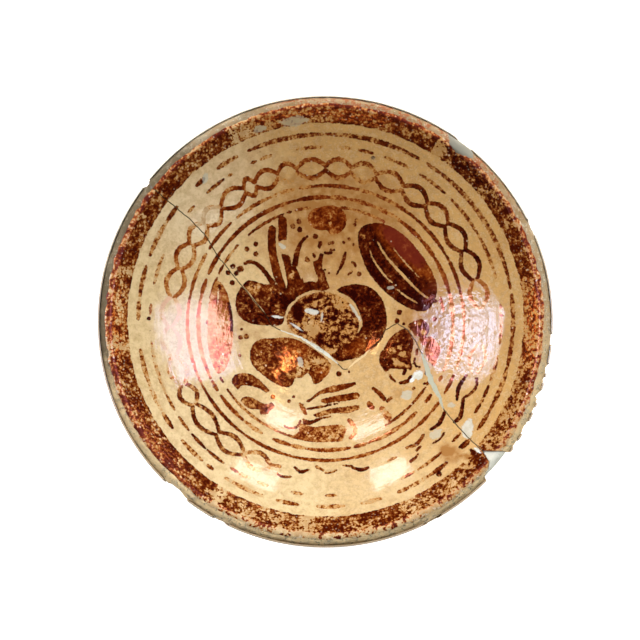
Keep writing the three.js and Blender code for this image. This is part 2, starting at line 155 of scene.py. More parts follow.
# Leaves and blots: how worn and how red they are, and the outline, smoothed between its points
BLOTS = [
    # Large leaf in the north-east
    (-0.02, 0.1, [
        (15.2, 42), (16.6, 45.6), (20.5, 47.2), (26, 47.3), (31.5, 45), (37, 41), (42.5, 35), (47, 28.5),
        (50.3, 22), (51.4, 17), (50.4, 12), (47.8, 8), (44, 6.9), (38.5, 8.6), (33, 12), (28, 16),
        (23.5, 20.8), (20, 25.5), (17.3, 31.5), (15.6, 37)]),
    # Oval bud in the north
    (0.14, 0.95, [
        (-8.2, 50), (-6.2, 53.4), (-2, 54.9), (3, 55.5), (6.4, 54.6), (9, 52), (9.9, 48.8), (8.8, 45.4),
        (6, 43.2), (2.4, 42.8), (0.6, 44.8), (-2, 44.4), (-5.4, 45.6), (-7.6, 47.8)]),
    # Two stems, the second broken
    (0, 0.7, [
        (-26, 45.8), (-24.6, 46.6), (-22.9, 45.6), (-22.9, 40), (-22.4, 34), (-21, 28), (-19.6, 23),
        (-18, 18), (-19.6, 17.6), (-22.2, 20.2), (-24.2, 24.6), (-25.4, 30), (-26.4, 36),
        (-26.5, 40.5)]),
    (0.03, 0.8, [
        (-21.4, 50), (-18.1, 50), (-17.6, 45), (-18, 40), (-19.8, 40.2), (-21.6, 39.2), (-21.5, 44)]),
    (0.05, 0.5, [
        (-21.4, 37.8), (-20, 33.8), (-17, 33.4), (-15.9, 31), (-15.6, 28.4), (-13.4, 27.4), (-12.2, 25),
        (-11.4, 21.4), (-16.6, 19.6), (-17.8, 23), (-18.8, 28), (-20.2, 33)]),
    # Where the stems meet the lobe, with the stem of a lost bud
    (0.06, 0.3, [
        (-17.4, 20.4), (-14, 20.8), (-11.4, 21.8), (-10.5, 23.6), (-9.8, 20.9), (-7, 21.6), (-4.2, 21.2),
        (-3, 23), (-4.2, 25), (-5, 27.6), (-5.8, 30.4), (-3.6, 31.2), (-2.4, 34.4), (-0.8, 34),
        (-1.4, 30.4), (-1.4, 27.6), (0, 25), (0.6, 22), (2, 18.4), (-1, 17.2), (-6, 17.4), (-10, 15.8),
        (-14, 14), (-18, 14)]),
    (0.2, 0.3, [(-9.6, 30.5), (-8.5, 33.2), (-6.8, 30.5)]),
    # Double lobe in the west
    (0.16, 0.1, [
        (-37.8, 19.4), (-36.4, 20.9), (-33.8, 21.4), (-28, 19.8), (-24, 20), (-19.5, 18.5), (-13.5, 14),
        (-16.8, 10.5), (-18.6, 6.2), (-20, 1.4), (-25, 0.9), (-33, 1.2), (-36.5, 2.4), (-39.3, 4.4),
        (-40.8, 7), (-41.3, 10.5), (-40.8, 14.5), (-39.4, 17.2)]),
    # Medallion in the middle
    (0.43, 0.1, [
        (15.6, 1), (14.6, 5), (12.4, 9.4), (9.6, 12.8), (5, 15.4), (-0.9, 16.6), (-8.6, 15.2),
        (-13.5, 12), (-16.8, 7.6), (-17.8, 3.2), (-15.4, -1.6), (-9, -5.2), (-3.4, -8), (1.6, -12.6),
        (8, -13), (13, -7.6)]),
    # Crescent round its eastern side and below it
    (0.1, 0.1, [
        (5.4, 17.4), (9, 19.4), (14, 20.2), (18.5, 19.5), (22.5, 17.4), (25.6, 14), (27.6, 9.5),
        (28.4, 4), (28, -0.5), (26.6, -4.5), (24.6, -7.4), (22, -10), (15.5, -13.6), (9.6, -15.2),
        (6, -15.4), (2.4, -12.4), (4, -8.6), (8, -6.5), (13, -4.4), (16.2, -1), (17.2, 2), (16.6, 5),
        (15.2, 8.6), (13, 12.4), (10, 15)]),
    # Lobe in the south-west
    (0.22, 0.4, [
        (-34.6, -13.5), (-34.2, -10), (-32.6, -7.2), (-29.6, -5.6), (-24, -5), (-17, -4.6), (-12, -6),
        (-7, -8.8), (-2, -12.2), (1.4, -15.4), (3, -18), (2.2, -20), (0, -23.2), (-3, -25.8),
        (-5.4, -26.2), (-6.4, -23), (-8.4, -21), (-10.4, -23.2), (-14, -23.6), (-15, -26.6), (-18, -28),
        (-21.5, -27), (-25, -25), (-29, -22), (-32, -19.4), (-34, -16.8)]),
    # Small leaf in the south-west, in two halves
    (0.2, 0.4, [
        (-42.8, -26), (-42, -23.4), (-40, -22), (-37, -21.6), (-34, -22.2), (-31, -24), (-28, -26.8),
        (-25.4, -30), (-27, -30.6), (-30, -28.8), (-33, -27.8), (-36, -27.4), (-38.4, -27.6),
        (-40, -29.4), (-41.6, -28)]),
    (0.2, 0.4, [
        (-38.6, -34.4), (-36.4, -32.6), (-33, -33.2), (-30, -35), (-26, -36), (-24.8, -35), (-23, -37.2),
        (-25, -38.8), (-26.2, -40.6), (-29.8, -40.8), (-30, -38.6), (-34, -38.4), (-37, -36.6)]),
    # Striped half leaf in the south
    (0.22, 0.6, [
        (-9, -34.6), (-6, -32.4), (-3.4, -30.2), (0, -28.2), (4, -27), (9, -26.2), (14, -25.4),
        (14.2, -26.6), (10, -28.4), (5, -30), (0, -30.6), (-3, -31.4), (-5.4, -33.4), (-7.6, -35)]),
    (0.24, 0.7, [
        (-2.4, -34), (2, -32.4), (8, -31.2), (15, -30.4), (15.4, -33), (10, -34.2), (4, -34.8),
        (0, -35.4)]),
    (0.36, 0.4, [
        (-5.6, -40.8), (-2, -39.2), (3, -37.8), (9, -37), (15.6, -36.4), (15.8, -38), (10.4, -40),
        (4.8, -40), (0, -41), (-4, -42)]),
    (0.14, 0.4, [(-10.2, -42.4), (-7, -43.6), (-3, -42.2), (-2, -43), (-7, -45.6), (-10, -44.8)]),
    (0.46, 0.7, [
        (-11.4, -45), (-6, -46.4), (0, -46), (6, -45.4), (9.6, -47), (9, -50), (8, -53), (2, -53.6),
        (-6, -53.4), (-12, -52), (-15.5, -51.4), (-12, -48.6)]),
    # Leaf in the south-east
    (0.06, 0.2, [
        (36.8, -0.8), (38.6, -1.8), (39.6, -4.6), (40.6, -7), (40.2, -10), (39.6, -13), (39.2, -16),
        (39.9, -19), (39.4, -20.6), (37.6, -19.4), (36.4, -19.8), (33, -19.6), (29.6, -19.4),
        (28, -21.6), (26.6, -19.4), (25.4, -17.6), (24.8, -15), (25.4, -12), (27, -10), (28.2, -7.6),
        (30, -4.9), (33.4, -2.2)]),
    (0.06, 0.2, [
        (37.8, 0.4), (40, 1.9), (44, 3.4), (46, 2), (47.8, -0.4), (47.2, -4.2), (45.6, -4.9), (43.6, -5),
        (42.4, -4.4), (41, -4.2), (40, -2)]),
    (0.15, 0.7, [(43.4, -5), (46.6, -4.8), (46.4, -8.6), (44.6, -9), (43.6, -7)]),
    # Half leaves against the inner ring, east and west
    (0.34, 1.0, [
        (47.4, -4.6), (48.6, -5), (52.8, -10.4), (51.6, -15), (50, -18.8), (48, -17), (46, -13),
        (45.8, -10)]),
    (0.4, 0.9, [
        (-50.4, 20.4), (-48, 19.8), (-46, 17), (-44.5, 13.4), (-43.8, 9.6), (-43.3, 5), (-42.7, 0),
        (-42.4, -5), (-43, -10.6), (-44, -15.6), (-46.4, -21), (-49, -22.2), (-50.6, -20.4),
        (-53, -13.6), (-54, -6), (-54, 2), (-53.4, 10), (-52.2, 16.4)]),
]

# Brush strokes: how worn, how red, widths along it, points
STROKES = [
    (0.02, 0.3, (1.5, 2.0, 2.4), [(-37, 29), (-34.5, 29.9), (-31, 28.6), (-28, 25.6), (-24.4, 20.6)]),
    (0.02, 0.3, (1.1, 2.4, 2.6), [(-8.2, 41.7), (-10.2, 40.4), (-12, 37.4), (-13.3, 33.4), (-14, 29)]),
    (0.1, 0.2, (1.2, 1.8, 1.2, 0.6), [(9.4, 34.6), (8.8, 32.6), (8, 29.8), (6.4, 26.8), (5.3, 24.6)]),
    (0.12, 0.2, (1.8, 1.6), [(-2.2, 39), (-2.8, 37.2)]),
    (0.05, 0.2, (1.3, 1.3), [(1.8, 38.8), (3.8, 39.2)]),
    (0.05, 0.2, (1.2, 1.3), [(0, 34.6), (1.2, 34.2), (2.8, 34.6)]),
    (0.15, 0.2, (0.9, 0.9), [(2.6, 36), (4.2, 35.8)]),
    (0.3, 0.4, (1.2, 1.2), [(-5.4, 34), (-4.8, 32.6)]),
    (0.1, 0.2, (1.2, 1.4), [(12.6, 30), (13.6, 29.6), (14, 28.4)]),
    (0.25, 0.2, (1.0, 1.2), [(10.6, 24.6), (12, 25.8)]),
    (0.1, 0.2, (1.1, 1.2), [(-18.6, -46), (-16.5, -47.2), (-13, -46.6), (-11.4, -43.8)]),
    (0.2, 0.3, (1.0, 1.2, 0.8, 0.6), [(-8, -38), (-3, -37.2), (2, -36.2), (6, -35.6)]),
    (0.3, 0.8, (1.2, 2.2, 1.4), [(-11.6, -35.6), (-10.2, -38), (-9, -40.4)]),
    (0.2, 0.4, (1.0, 0.8), [(-2.6, -42.6), (0, -42), (2.4, -41.6)]),
    (0.25, 0.8, (2.2, 1.8), [(11, -43.4), (13, -46), (13.8, -49), (11.5, -51.5)]),
    (0.2, 0.5, (1.6, 2.4, 2.0), [(22, -28.6), (24.6, -30.6), (27, -33.6)]),
    (0.15, 0.3, (1.8, 1.6), [(28.6, -34.4), (30.2, -33)]),
    (0.25, 0.8, (2.4, 2.6), [(20, -35.6), (21.4, -37.4)]),
    (0.35, 0.8, (2.6, 3.4), [(26, -38.2), (28.8, -42)]),
    (0.1, 0.2, (1.2, 1.0), [(29.8, -22.6), (30.4, -24), (32, -25.4)]),
    (0.05, 0.2, (1.4, 1.9, 1.6), [(34.4, -26.2), (37, -25.8), (38.6, -24.6), (39.4, -23.4)]),
    (0.05, 0.2, (1.4, 1.7), [(37, -19.4), (36, -21.8)]),
    (0.08, 0.2, (1.2, 1.3), [(42.2, -10.8), (42, -13)]),
    (0.12, 0.2, (0.9, 1.1), [(41, -14.8), (41, -17.4), (41.8, -18.6)]),
    (-0.2, 0.4, (1.6, 2.2, 2.2, 1.2), [
        (-48.8, 18.8), (-45.4, 12), (-43.7, 4), (-43.7, -4), (-45.6, -13)]),
    (0, 0.4, (0.9, 1.2, 1.4), [(60.2, -66.6), (62, -65.4), (64.4, -65.2), (67, -66)]),
    (0, 0.4, (1.2, 1.0, 0.7), [(60.6, -57.2), (61.6, -55.8), (63.6, -54.2)]),
    (0, 0.5, (1.2, 3.2, 3.6), [(65.2, -58.4), (67.4, -61.2), (69.4, -63.6)]),
]

# Veins left bare in the leaves: width and points
VEINS = [
    (1.0, [(20.6, 35.5), (22, 31.6), (25, 27), (28, 23.2), (31, 20.4)]),
    (1.0, [(33.5, 17), (36.5, 14.6), (40, 12.2), (42.5, 10.6)]),
    (1.4, [(24.2, 39), (27, 34), (31, 29), (35, 24.6), (39, 20.2), (43, 16.2), (47, 13)]),
    (0.7, [(31.5, 36), (35, 31.6), (39, 27), (43, 22.6)]),
    (0.8, [(-48.8, 18.6), (-49.2, 14), (-49.4, 9.8)]),
    (0.9, [(-38.6, 19.2), (-35.2, 15.4), (-31.8, 11), (-27.8, 6.6)]),
]

# Dots: across, up, width
DOT_WEAR = 0.08
DOT_RED = 0.2
# The last four dots are dark pits in the glaze, drawn as dots of paint.
DOTS = [
    (-14.9, 46.2, 2.4), (-12.2, 48.4, 2.4), (-11.8, 44.8, 2.5), (-4.6, 41.8, 2.4), (-36, 35.5, 2.3),
    (-32, 38, 2.3), (-32, 33.5, 2.4), (-42.5, 27.5, 2.4), (-44.6, 24.5, 2.2), (-39, 26.5, 3.0),
    (-41, 24.3, 2.2), (-42.8, 20, 2.4), (15.7, 24.8, 2.3), (34.2, 6.8, 2.5), (33, 2.8, 2.4),
    (36.2, 1.4, 1.5), (-39, -5, 2.2), (-36.3, -4.5, 2.4), (6.3, -21.5, 2.6), (43.2, -19, 1.2),
    (46.3, -22, 1.7), (45.5, -26.8, 1.4), (40.5, -29, 1.6), (11, 40.6, 1.5), (8.5, 39.2, 1.5),
    (12.9, 38, 1.3), (14.3, 48.8, 1.8), (13.5, 47, 1.6), (50.8, 11.2, 1.5), (52.6, 11.2, 1.4),
    (-38.5, -1.2, 1.4), (-39.4, -13.4, 1.6), (11, -20.5, 1.3), (-16.6, -34.4, 1.7), (-14.5, -32.4, 1.4),
    (-10.6, -36.2, 1.5), (-24, -32.5, 2.2), (0, 26.8, 1.0), (1.7, 25.3, 1.1), (7.6, 28.7, 1.5),
    (51, -69.3, 2.6), (50.3, 3, 2.2), (-54, 1.5, 1.8), (-80, 1.5, 1.8),
]

# Painted rings: radius, width, how red, and what is left of each: degrees from and to, how worn
RING_CENTRE = (0.2, 0.9)
RING_STEP = 4  # degrees between a ring's points
RINGS = [
    (84.8, 2.0, 0.5, [
        (0, 7.5, 0.35), (9.5, 57, 0.33), (60, 90, 0.4), (91, 114.5, 0.42), (118.5, 125.5, 0.45),
        (130.7, 134, 0), (142.7, 148, 0.2), (148, 160, 0.6), (163.5, 173, 0.38), (174, 180, 0.72),
        (189.5, 200, 0.64), (200, 209, 0.8), (210.3, 215.6, 0.25), (220.5, 229, 0.48),
        (231.3, 233.2, 0.3), (238, 250.5, 0.75), (255, 261.5, 0.58), (267.5, 275.5, 0.65),
        (281, 287, 0.75), (292.5, 296, 0.42), (296, 303, 0.75), (303.5, 310, 0.15), (316.5, 320, 0.25),
        (324, 330, 0.3), (330, 345.5, 0.4), (345.5, 355, 0.25), (355, 360, 0.38)]),
    (79.6, 1.5, 0.5, [
        (0, 5, 0.3), (14, 30, 0.4), (30, 44, 0.4), (47, 57.2, 0.2), (61.5, 66.5, 0.48), (66.5, 70, 0.68),
        (74.3, 79, 0.4), (81.5, 85.5, 0.68), (91, 99.5, 0.58), (108, 112, 0.72), (113.5, 115.2, 0.1),
        (122.5, 124, 0.6), (125.7, 132.7, 0.25), (139, 141.7, 0.45), (158, 168, 0.78), (175, 178, 0.68),
        (187, 205, 0.78), (205.5, 211, 0.42), (213.7, 219, 0.22), (220.7, 227, 0), (228, 234.7, 0.35),
        (237.5, 240.5, 0.15), (240.5, 244.5, 0.65), (247.5, 251, 0.42), (259, 262.5, 0.5),
        (270, 273.5, 0.48), (295.5, 300, 0.48), (301.5, 311, 0.4), (316, 319.7, 0.22), (328, 331.5, 0.12),
        (331.5, 333.5, 0.45), (333.5, 338, 0.05), (339, 348, 0.48), (352, 360, 0.38)]),
    (63.2, 1.7, 0.8, [
        (0, 12, 0.45), (12, 29, 0.03), (30, 49, 0.1), (49, 70, 0.32), (70, 75.5, 0.7), (76, 96, 0.15),
        (96, 101, 0.55), (103, 113, 0.7), (113, 130, 0.38), (133.5, 147.5, 0.2), (150, 157.5, 0.5),
        (157.5, 168, 0.3), (168, 207, 0.3), (207.5, 234, 0), (234, 256, 0.2), (256, 280, 0.18),
        (280, 292, 0.32), (292, 310, 0.2), (310.5, 319, 0.2), (320, 325, 0.22), (329, 337.5, 0.12),
        (340, 360, 0.55)]),
    (58.3, 2.0, 0.85, [
        (0, 13, 0.45), (13, 31, 0.1), (31, 40, 0.25), (40, 54, 0.15), (54, 68, 0.52), (68, 80, 0.48),
        (80, 88, 0.32), (88, 103, 0.1), (104, 146, 0.08), (146, 157, 0.28), (160, 168, 0.1),
        (168, 206, 0.28), (207.5, 212, 0.28), (215, 229.5, 0.1), (231, 240, 0.6), (246, 254, 0.28),
        (254, 261, 0.55), (262, 281, 0.32), (283, 288.5, 0.3), (290, 309, 0.4), (309, 315, 0.25),
        (321.5, 325.5, 0.1), (333, 335, 0.28), (338, 360, 0.6)]),
    (54.2, 1.35, 0.6, [
        (6, 13, 0.28), (60, 78, 0.55), (78, 83, 0.3), (98, 105, 0.3), (107, 109, 0.2), (111, 131, 0.12),
        (138, 141, 0.1), (141, 150, 0.55), (150, 155, 0.28), (157, 168, 0.1), (207.5, 210, 0.1),
        (214, 247, 0.28), (247, 270, 0.4), (300, 317, 0.28), (317, 327, 0.15), (328.5, 331, 0.28)]),
]

# The plaited chain between the rings: degrees where each link starts and ends, how worn its outer and its
# inner strand are, how red
CHAIN_RADIUS = 70.8
CHAIN_STROKE = 2.1
CHAIN_END = 0.8  # share of a strand's width left at its ends
CHAIN_GAP = 0.9
CHAIN_SWING = 3.1
CHAIN = [
    (5, 15.5, 0.5, 0.5, 0.9), (15.5, 27.2, 0.06, 0.1, 0.1), (27.2, 38.7, 0.05, 0.08, 0.4),
    (38.7, 49.2, 0.12, 0.08, 0.6), (49.5, 60, 0.1, 0.15, 0.5), (60, 71, 0.28, 0.24, 0.7),
    (71, 80.5, 0.48, 0.55, 0.6), (80.5, 90, 0.26, 0.3, 0.9), (90, 100.8, 0.24, 0.24, 0.9),
    (100.8, 108, 0.26, 0.8, 0.9), (108, 117, 0.24, 0.2, 1), (117, 121.5, 0.3, 0.3, 1),
    (121.5, 132, 0.24, 0.2, 1), (133, 141, 1, 0.05, 1), (141, 150, 0.42, 0.36, 1),
    (150, 160, 0.4, 0.55, 1), (160, 171, 0.5, 0.42, 1), (171, 182, 1.1, 1.1, 0.9),
    (182, 193, 1.1, 1.1, 0.9), (193, 204, 1.0, 1.0, 0.9), (204, 212.5, 0.35, 0.55, 0.3),
    (212.5, 226.3, 0.2, 0.25, 0.2), (226.3, 238, 0.33, 0.28, 0.3), (239, 249, 0.85, 0.58, 0.4),
]
# What is left of it further round: how worn, how red, widths along it, and points as degrees and radius
CHAIN_SCRAPS = [
    (0.3, 0.5, (1.4, 1.8), [(247, 69), (249.5, 69.8), (252.5, 69.3)]),
    (0.3, 0.3, (1.0, 1.4, 0.8), [(252.5, 72.8), (254.5, 73.5), (257.5, 72.8)]),
    (0.2, 0.2, (1.0, 1.8, 1.0), [(258, 67.8), (260.5, 69.5), (263.5, 68)]),
    (0.3, 0.3, (1.6, 1.2), [(266.5, 66.3), (269, 67.8)]),
    (0.25, 0.2, (1.0, 0.9), [(270, 68.9), (272, 68.9), (274, 68)]),
    (0.35, 0.2, (0.8, 1.2), [(277, 65.9), (280, 67)]),
    (0.22, 0.3, (1.2, 1.8, 1.4), [(280.5, 67.8), (283.5, 69.6), (286, 69.4)]),
    (0.25, 0.2, (1.2, 1.4), [(294, 69.5), (297, 69.6)]),
    (0.2, 0.3, (1.6, 1.6, 1.0), [(301, 74.6), (303, 74.4), (304.5, 73.8)]),
    (0.32, 0.5, (1.2, 1.8, 1.4), [(302.5, 68.3), (306.5, 69.5), (310.5, 68.2)]),
    (0.3, 0.3, (1.2, 1.2), [(305, 71.8), (306.8, 71.6)]),
    (0.15, 0.2, (0.8, 1.1, 0.8), [(311, 73.9), (313.8, 74.7), (316.5, 74)]),
    (0.02, 0.1, (1.2, 2.0, 1.5), [(314, 68.4), (317.5, 69.5), (322.5, 68.2)]),
    (0.02, 0.1, (1.6, 2.1, 1.6, 1.3), [(321.7, 74.4), (324, 75.1), (327, 73.7), (330.5, 71.8)]),
    (0.25, 0.2, (1.2, 1.4, 1.2), [(331, 72), (333.5, 73.8), (336.5, 74.6), (339, 73.3)]),
    (0.04, 0.1, (1.2, 2.0, 1.2), [(329, 69.6), (333.5, 67.6), (339, 68.6)]),
    (0.5, 0.9, (1.2, 1.4, 1.2), [(341, 72.6), (346, 74.6), (351, 72.6)]),
    (0.5, 0.9, (1.2, 1.4, 1.2), [(341, 70), (346, 67.4), (351, 69.8)]),
]

# The dark band along the rim: where it starts, how red it is, and at some degrees where it starts to be
# rubbed off the lip and how worn it is
BAND_RADIUS = 89.4
BAND_RED = 0.9
BAND_RUB = 1.4  # how far it takes to be worn by 1 more there
BAND_RUBBED = 0.8  # how much more worn it gets
BAND_ENDS = [(0, 98.6), (225, 98.6), (245, 96.6), (305, 96.6), (330, 98)]
BAND_WEAR = [
    (0, 0.36), (8, 0.34), (12, 0.28), (24, 0.22), (40, 0.18), (44, 0.08), (53, 0), (54.4, 0.3),
    (55, 1.2), (57.5, 1.2), (58.2, 0.1), (70, 0.08), (82, 0.14), (96, 0.2), (112, 0.24), (115.4, 0.45),
    (116, 1.2), (117.6, 1), (118.2, 0.1), (126, 0.18), (142, 0.14), (157, 0.2), (168, 0.26),
    (176, 0.36), (184, 0.26), (186.6, 0.45), (187.4, 0.85), (189, 0.7), (190, 0.24), (205, 0.24),
    (212, 0.16), (228, 0.08), (235, 0.08), (237, 0.33), (238, 1.1), (240.4, 1), (241.2, 0.2),
    (244.6, 0.23), (246, 0.8), (248, 0.33), (252.4, 0.26), (254, 0.5), (258, 0.43), (262, 0.28),
    (263.6, 1.1), (266, 0.9), (267.5, 0.33), (276, 0.24), (277.5, 0.4), (280, 0.2), (290.5, 0.22),
    (292.5, 0.58), (296, 0.36), (305, 0.36), (306, 0.54), (309, 0.3), (314, 0.3), (318, 0.15),
    (322, 0.55), (330, 0.42), (345, 0.3), (355, 0.36),
]

PLACE_FADE = 1.6  # how steeply the places below and the lost glaze fade towards their edges
# Places where the paint is more worn or redder, and the glaze pale, filmed or darkened: across, up,
# length, width, degrees turned, how much. Paint much redder than 1 has a smooth red coat.
WORN = [
    (40, 37, 26, 10, -48, 0.12), (-54, 47, 18, 11, 30, 0.8), (58, -3, 36, 44, 0, -0.25),
    (19, 41, 10, 9, 0, 0.2), (-29, 16.8, 18, 7, -8, 0.25), (-18, 11, 9, 11, 0, -0.3),
    (-34, 8, 12, 10, 0, 0.08), (-6, 0, 11, 9, -30, 1.0), (-12.6, 7.4, 7, 11, 0, -0.8),
    (7, 12, 12, 9, -20, 0.3), (-3, -3.4, 6, 4, 0, -0.6), (4, -2.6, 3.4, 2.8, 0, -0.5),
    (-2, 14.8, 4, 3.4, 0, -0.7), (2.6, 11, 4, 3, 0, -0.6), (5, 7, 3, 3, 0, -0.6),
    (-8, 12.6, 6, 4, 20, -0.6), (4, 4.4, 3.4, 3, 0, -0.7), (8, 2, 4, 3, 0, -0.6),
    (9.6, 8, 3, 2.6, 0, -0.5), (-3, -7, 8, 5, -30, -0.3), (10, -8, 20, 9, 10, -0.1),
    (8, -11, 16, 8, 0, 0.16), (2, 48.8, 2.6, 5, 0, 0.7), (-15.2, 24.4, 4.4, 5, 0, 0.8),
    (-4, -15, 12, 6, -35, 0.3), (-7, -18, 6, 6, 0, 0.4), (-11.4, -20, 5, 8, 0, 0.5),
    (-15, -22.4, 7, 4, 0, 0.3), (-24, -13, 10, 9, 0, 0.05), (-14, 90.8, 26, 3.6, 8, 0.6),
    (-31, 86.4, 26, 4.6, 19, 0.6), (-92.5, 9, 5, 16, 0, 0.3), (10, -52, 8, 6, 0, 0.2),
    (90, -3, 4, 12, 0, 0.4), (46, 79.5, 3, 3, 0, 0.8), (34.4, -9.4, 3, 3, 0, 0.9),
    (35.4, -12.6, 5, 2.8, 30, 0.9), (32.2, -16.4, 3.2, 5, 20, 0.9), (35, -17.4, 6, 2.4, -20, 0.8),
    (37.8, -18.4, 2.6, 2.6, 0, 0.8), (29, -17.8, 4, 2, 0, 0.5), (30.5, -11, 5, 4, 0, 0.35),
    (45.2, -2.8, 3.2, 4, 0, 1.0), (43.2, 1, 2.4, 2.4, 0, 0.5), (63.4, -63.8, 6, 3, -10, 1.0),
    (69.2, -63.8, 13, 4.8, -52, -0.6), (64.4, -68, 13, 2, 0, -0.6), (63.4, -66.6, 5.4, 1.4, 5, 1.6),
]
REDDENED = [
    (36.5, 37.5, 48, 16, -46, 3.4), (-75, -57.6, 38, 5, -53, 0.6), (14, -9, 18, 9, 30, 0.9),
    (-13, -10, 14, 9, -20, 0.8), (-1, -21, 9, 8, 0, 0.8), (-29, 17, 18, 8, 0, 0.5),
    (47, 12, 6, 6, 0, 0.7), (66, 66, 60, 12, -45, -0.5), (60, -3, 43, 58, 0, 0.6),
]
PALE = [
    (-54, 54, 46, 84, -45, 0.5), (-38, 52, 16, 12, -30, 0.5), (-54, 47, 20, 13, 30, 1.2),
    (-7, 23, 8, 6, 0, 0.5), (-60, -50, 40, 60, 45, 0.15),
]
# Filmed places lie where the walls mirror the soft boxes; the pink tint given there is painted sheen.
FILMED = [(60, -3, 43, 58, 0, 1.0), (-58, 2, 50, 60, 0, 0.12)]
# The first five darken and yellow the glaze broadly over the north of the floor and wall, the east, the
# middle and the west; the rest are smaller patches.
DARKENED_PLACES = [
    (6, 46, 96, 60, 0, 1.3), (0, 74, 150, 60, 0, 0.35), (46, 4, 34, 60, 0, 1.2), (0, 4, 60, 50, 0, 0.7),
    (-36, 2, 26, 40, 0, 0.5), (56.4, -60.2, 13, 11, 20, 1.7), (54, -56.6, 9, 6, 40, 0.8),
    (62.8, -61.6, 6.6, 3.8, 0, 1.8), (33, -31, 9, 6, 0, 0.6), (29.5, -80.5, 6, 5, 0, 0.35),
    (-75, 39.5, 4, 4, 0, 0.6), (13.8, 48, 5, 6, 0, 0.4), (76, 33, 24, 14, 0, 0.3),
    (84, -8, 16, 40, 0, 0.3),
]

# Turned lines painted on the back: radius, width
BACK_LINES = [(92, 1.6), (84, 1.2), (66, 1.4), (52, 1.2)]

# Unevenness of the shapes: sizes and heights of the lumps in it
CHIP_LUMPS = [(1.0, 0.14), (0.35, 0.05)]  # on a ball of radius 1
GLAZE_LUMPS = [(34, 0.05), (8, 0.012)]
FILL_LUMPS = [(5, 0.1), (1.8, 0.06)]
LIP_LUMPS_OUTWARD = [(9, 0.2), (3.2, 0.16)]
LIP_LUMPS_UPWARD = [(11, 0.14), (3, 0.13)]
# How far the fillings have sunk and the lip is worn off, and the rings left by the wheel
FILL_SUNK = 0.12
LIP_WORN_INWARD = 0.3
LIP_WORN_DOWNWARD = 0.16
WHEEL_RING_HEIGHT = 0.03
WHEEL_RING_STEP = 3

# How fine the meshes are: cells across each round upper side
FRONT_CELLS = 360
CLAY_CELLS = 144
FILL_CELLS = 200
BASE_CELLS = 48
SHARP_ANGLE = 35  # degrees between faces that don't shade into each other

# The camera, at the photograph's place
CAMERA_TILT = 7.0  # degrees off straight down
CAMERA_DISTANCE = 1200.0
CAMERA_AIM_Z = 30.0
CAMERA_LENS = 148.03
CAMERA_SENSOR = 36.0
IMAGE_SIZE = 640
OPTICAL_CENTRE = (325.25, 323.6)  # pixel of the photograph that the lens points at

# Soft boxes: degrees round from the east, degrees from overhead, width, height, radiance, colour, and
# whether they are mirrored in the glaze, fill in without that, or do both
LIGHT_DISTANCE = 800
WHITE = (1, 0.98, 0.97)
GOLD = (1.3, 0.85, 0.35)
LIGHTS = [
    ("east_shine", 18, 43.6, 322, 302, 6, (0.98, 1.08, 1.8), "mirrored"),
    ("west_shine", 164.5, 46.2, 263, 322, 11, (0.8, 1.05, 1.65), "mirrored"),
    ("east_fill", 16, 42, 316, 310, 10.8, (0.94, 1, 0.96), "fill"),
    ("west_fill", 164.5, 44.5, 263, 370, 10.8, (0.95, 0.98, 0.99), "fill"),
    ("north_east_lamp", 70, 38.8, 130, 95, 11, WHITE, "both"),
    ("north_west_lamp", 108.5, 41.4, 140, 85, 10.5, WHITE, "both"),
    ("low_north_east_lamp", 69, 61.5, 170, 110, 8.5, WHITE, "both"),
    ("low_north_west_lamp", 109.5, 60.5, 140, 95, 11, WHITE, "both"),
    ("east_glint", 55, 20, 80, 22, 22, GOLD, "mirrored"),
    ("small_east_glint", 58, 24.6, 30, 14, 35, GOLD, "mirrored"),
    ("low_east_glint", 64, 32, 60, 16, 22, GOLD, "mirrored"),
    ("west_glint", 142, 20.2, 60, 14, 22, GOLD, "mirrored"),
    ("low_west_shine", 172, 76, 300, 90, 2.5, GOLD, "mirrored"),
    ("low_east_shine", 8, 76, 300, 90, 2, GOLD, "mirrored"),
    ("low_north_east_shine", 42, 79.5, 300, 50, 3.5, WHITE, "mirrored"),
    ("low_south_shine", 270, 69, 600, 90, 1.5, GOLD, "mirrored"),
    ("north_fill", 90, 52, 400, 300, 3.8, WHITE, "fill"),
    ("north_wash", 90, 74, 1400, 450, 2.5, WHITE, "fill"),
]
FLOOR_SIZE = 6000
FLOOR_Z = -0.05
WORLD_LIGHT = 0.05

rng = np.random.default_rng(7)


# Sections in the half plane of radius and height

def arc(middle, radius, start, end, steps):
    """Points of an arc about a middle, angles in radians."""
    t = np.linspace(start, end, steps + 1)
    return np.stack([middle[0] + radius * np.cos(t), middle[1] + radius * np.sin(t)], -1)


LIP_MIDDLE = (LIP_MIDDLE_RADIUS, LIP_MIDDLE_Z)
INNER_TANGENT = math.pi / 2 + LIP_ANGLE
OUTER_TANGENT = LIP_ANGLE - math.pi / 2


def outer_wall(offset, steps=40):
    """The outer wall from the lip to the foot ring, this far outside its clay."""
    share = np.linspace(0, 1, steps + 1)
    reach = CLAY_BOWL_RADIUS + LIP_THICKNESS + share * (WALL_AT_FOOT - LIP_THICKNESS) + offset
    slope = LIP_ANGLE + share * (FILLET_ANGLE - LIP_ANGLE) - math.pi / 2
    return np.stack([reach * np.cos(slope), BOWL_MIDDLE_Z + reach * np.sin(slope)], -1)


def foot_corner(offset):
    """The hollow corner between the outer wall and the foot ring, this far outside its clay."""
    middle = (FOOT_RADIUS + FOOT_FILLET, FILLET_Z)
    return arc(middle, FOOT_FILLET - offset, math.pi / 2 + FILLET_ANGLE, math.pi, 6)


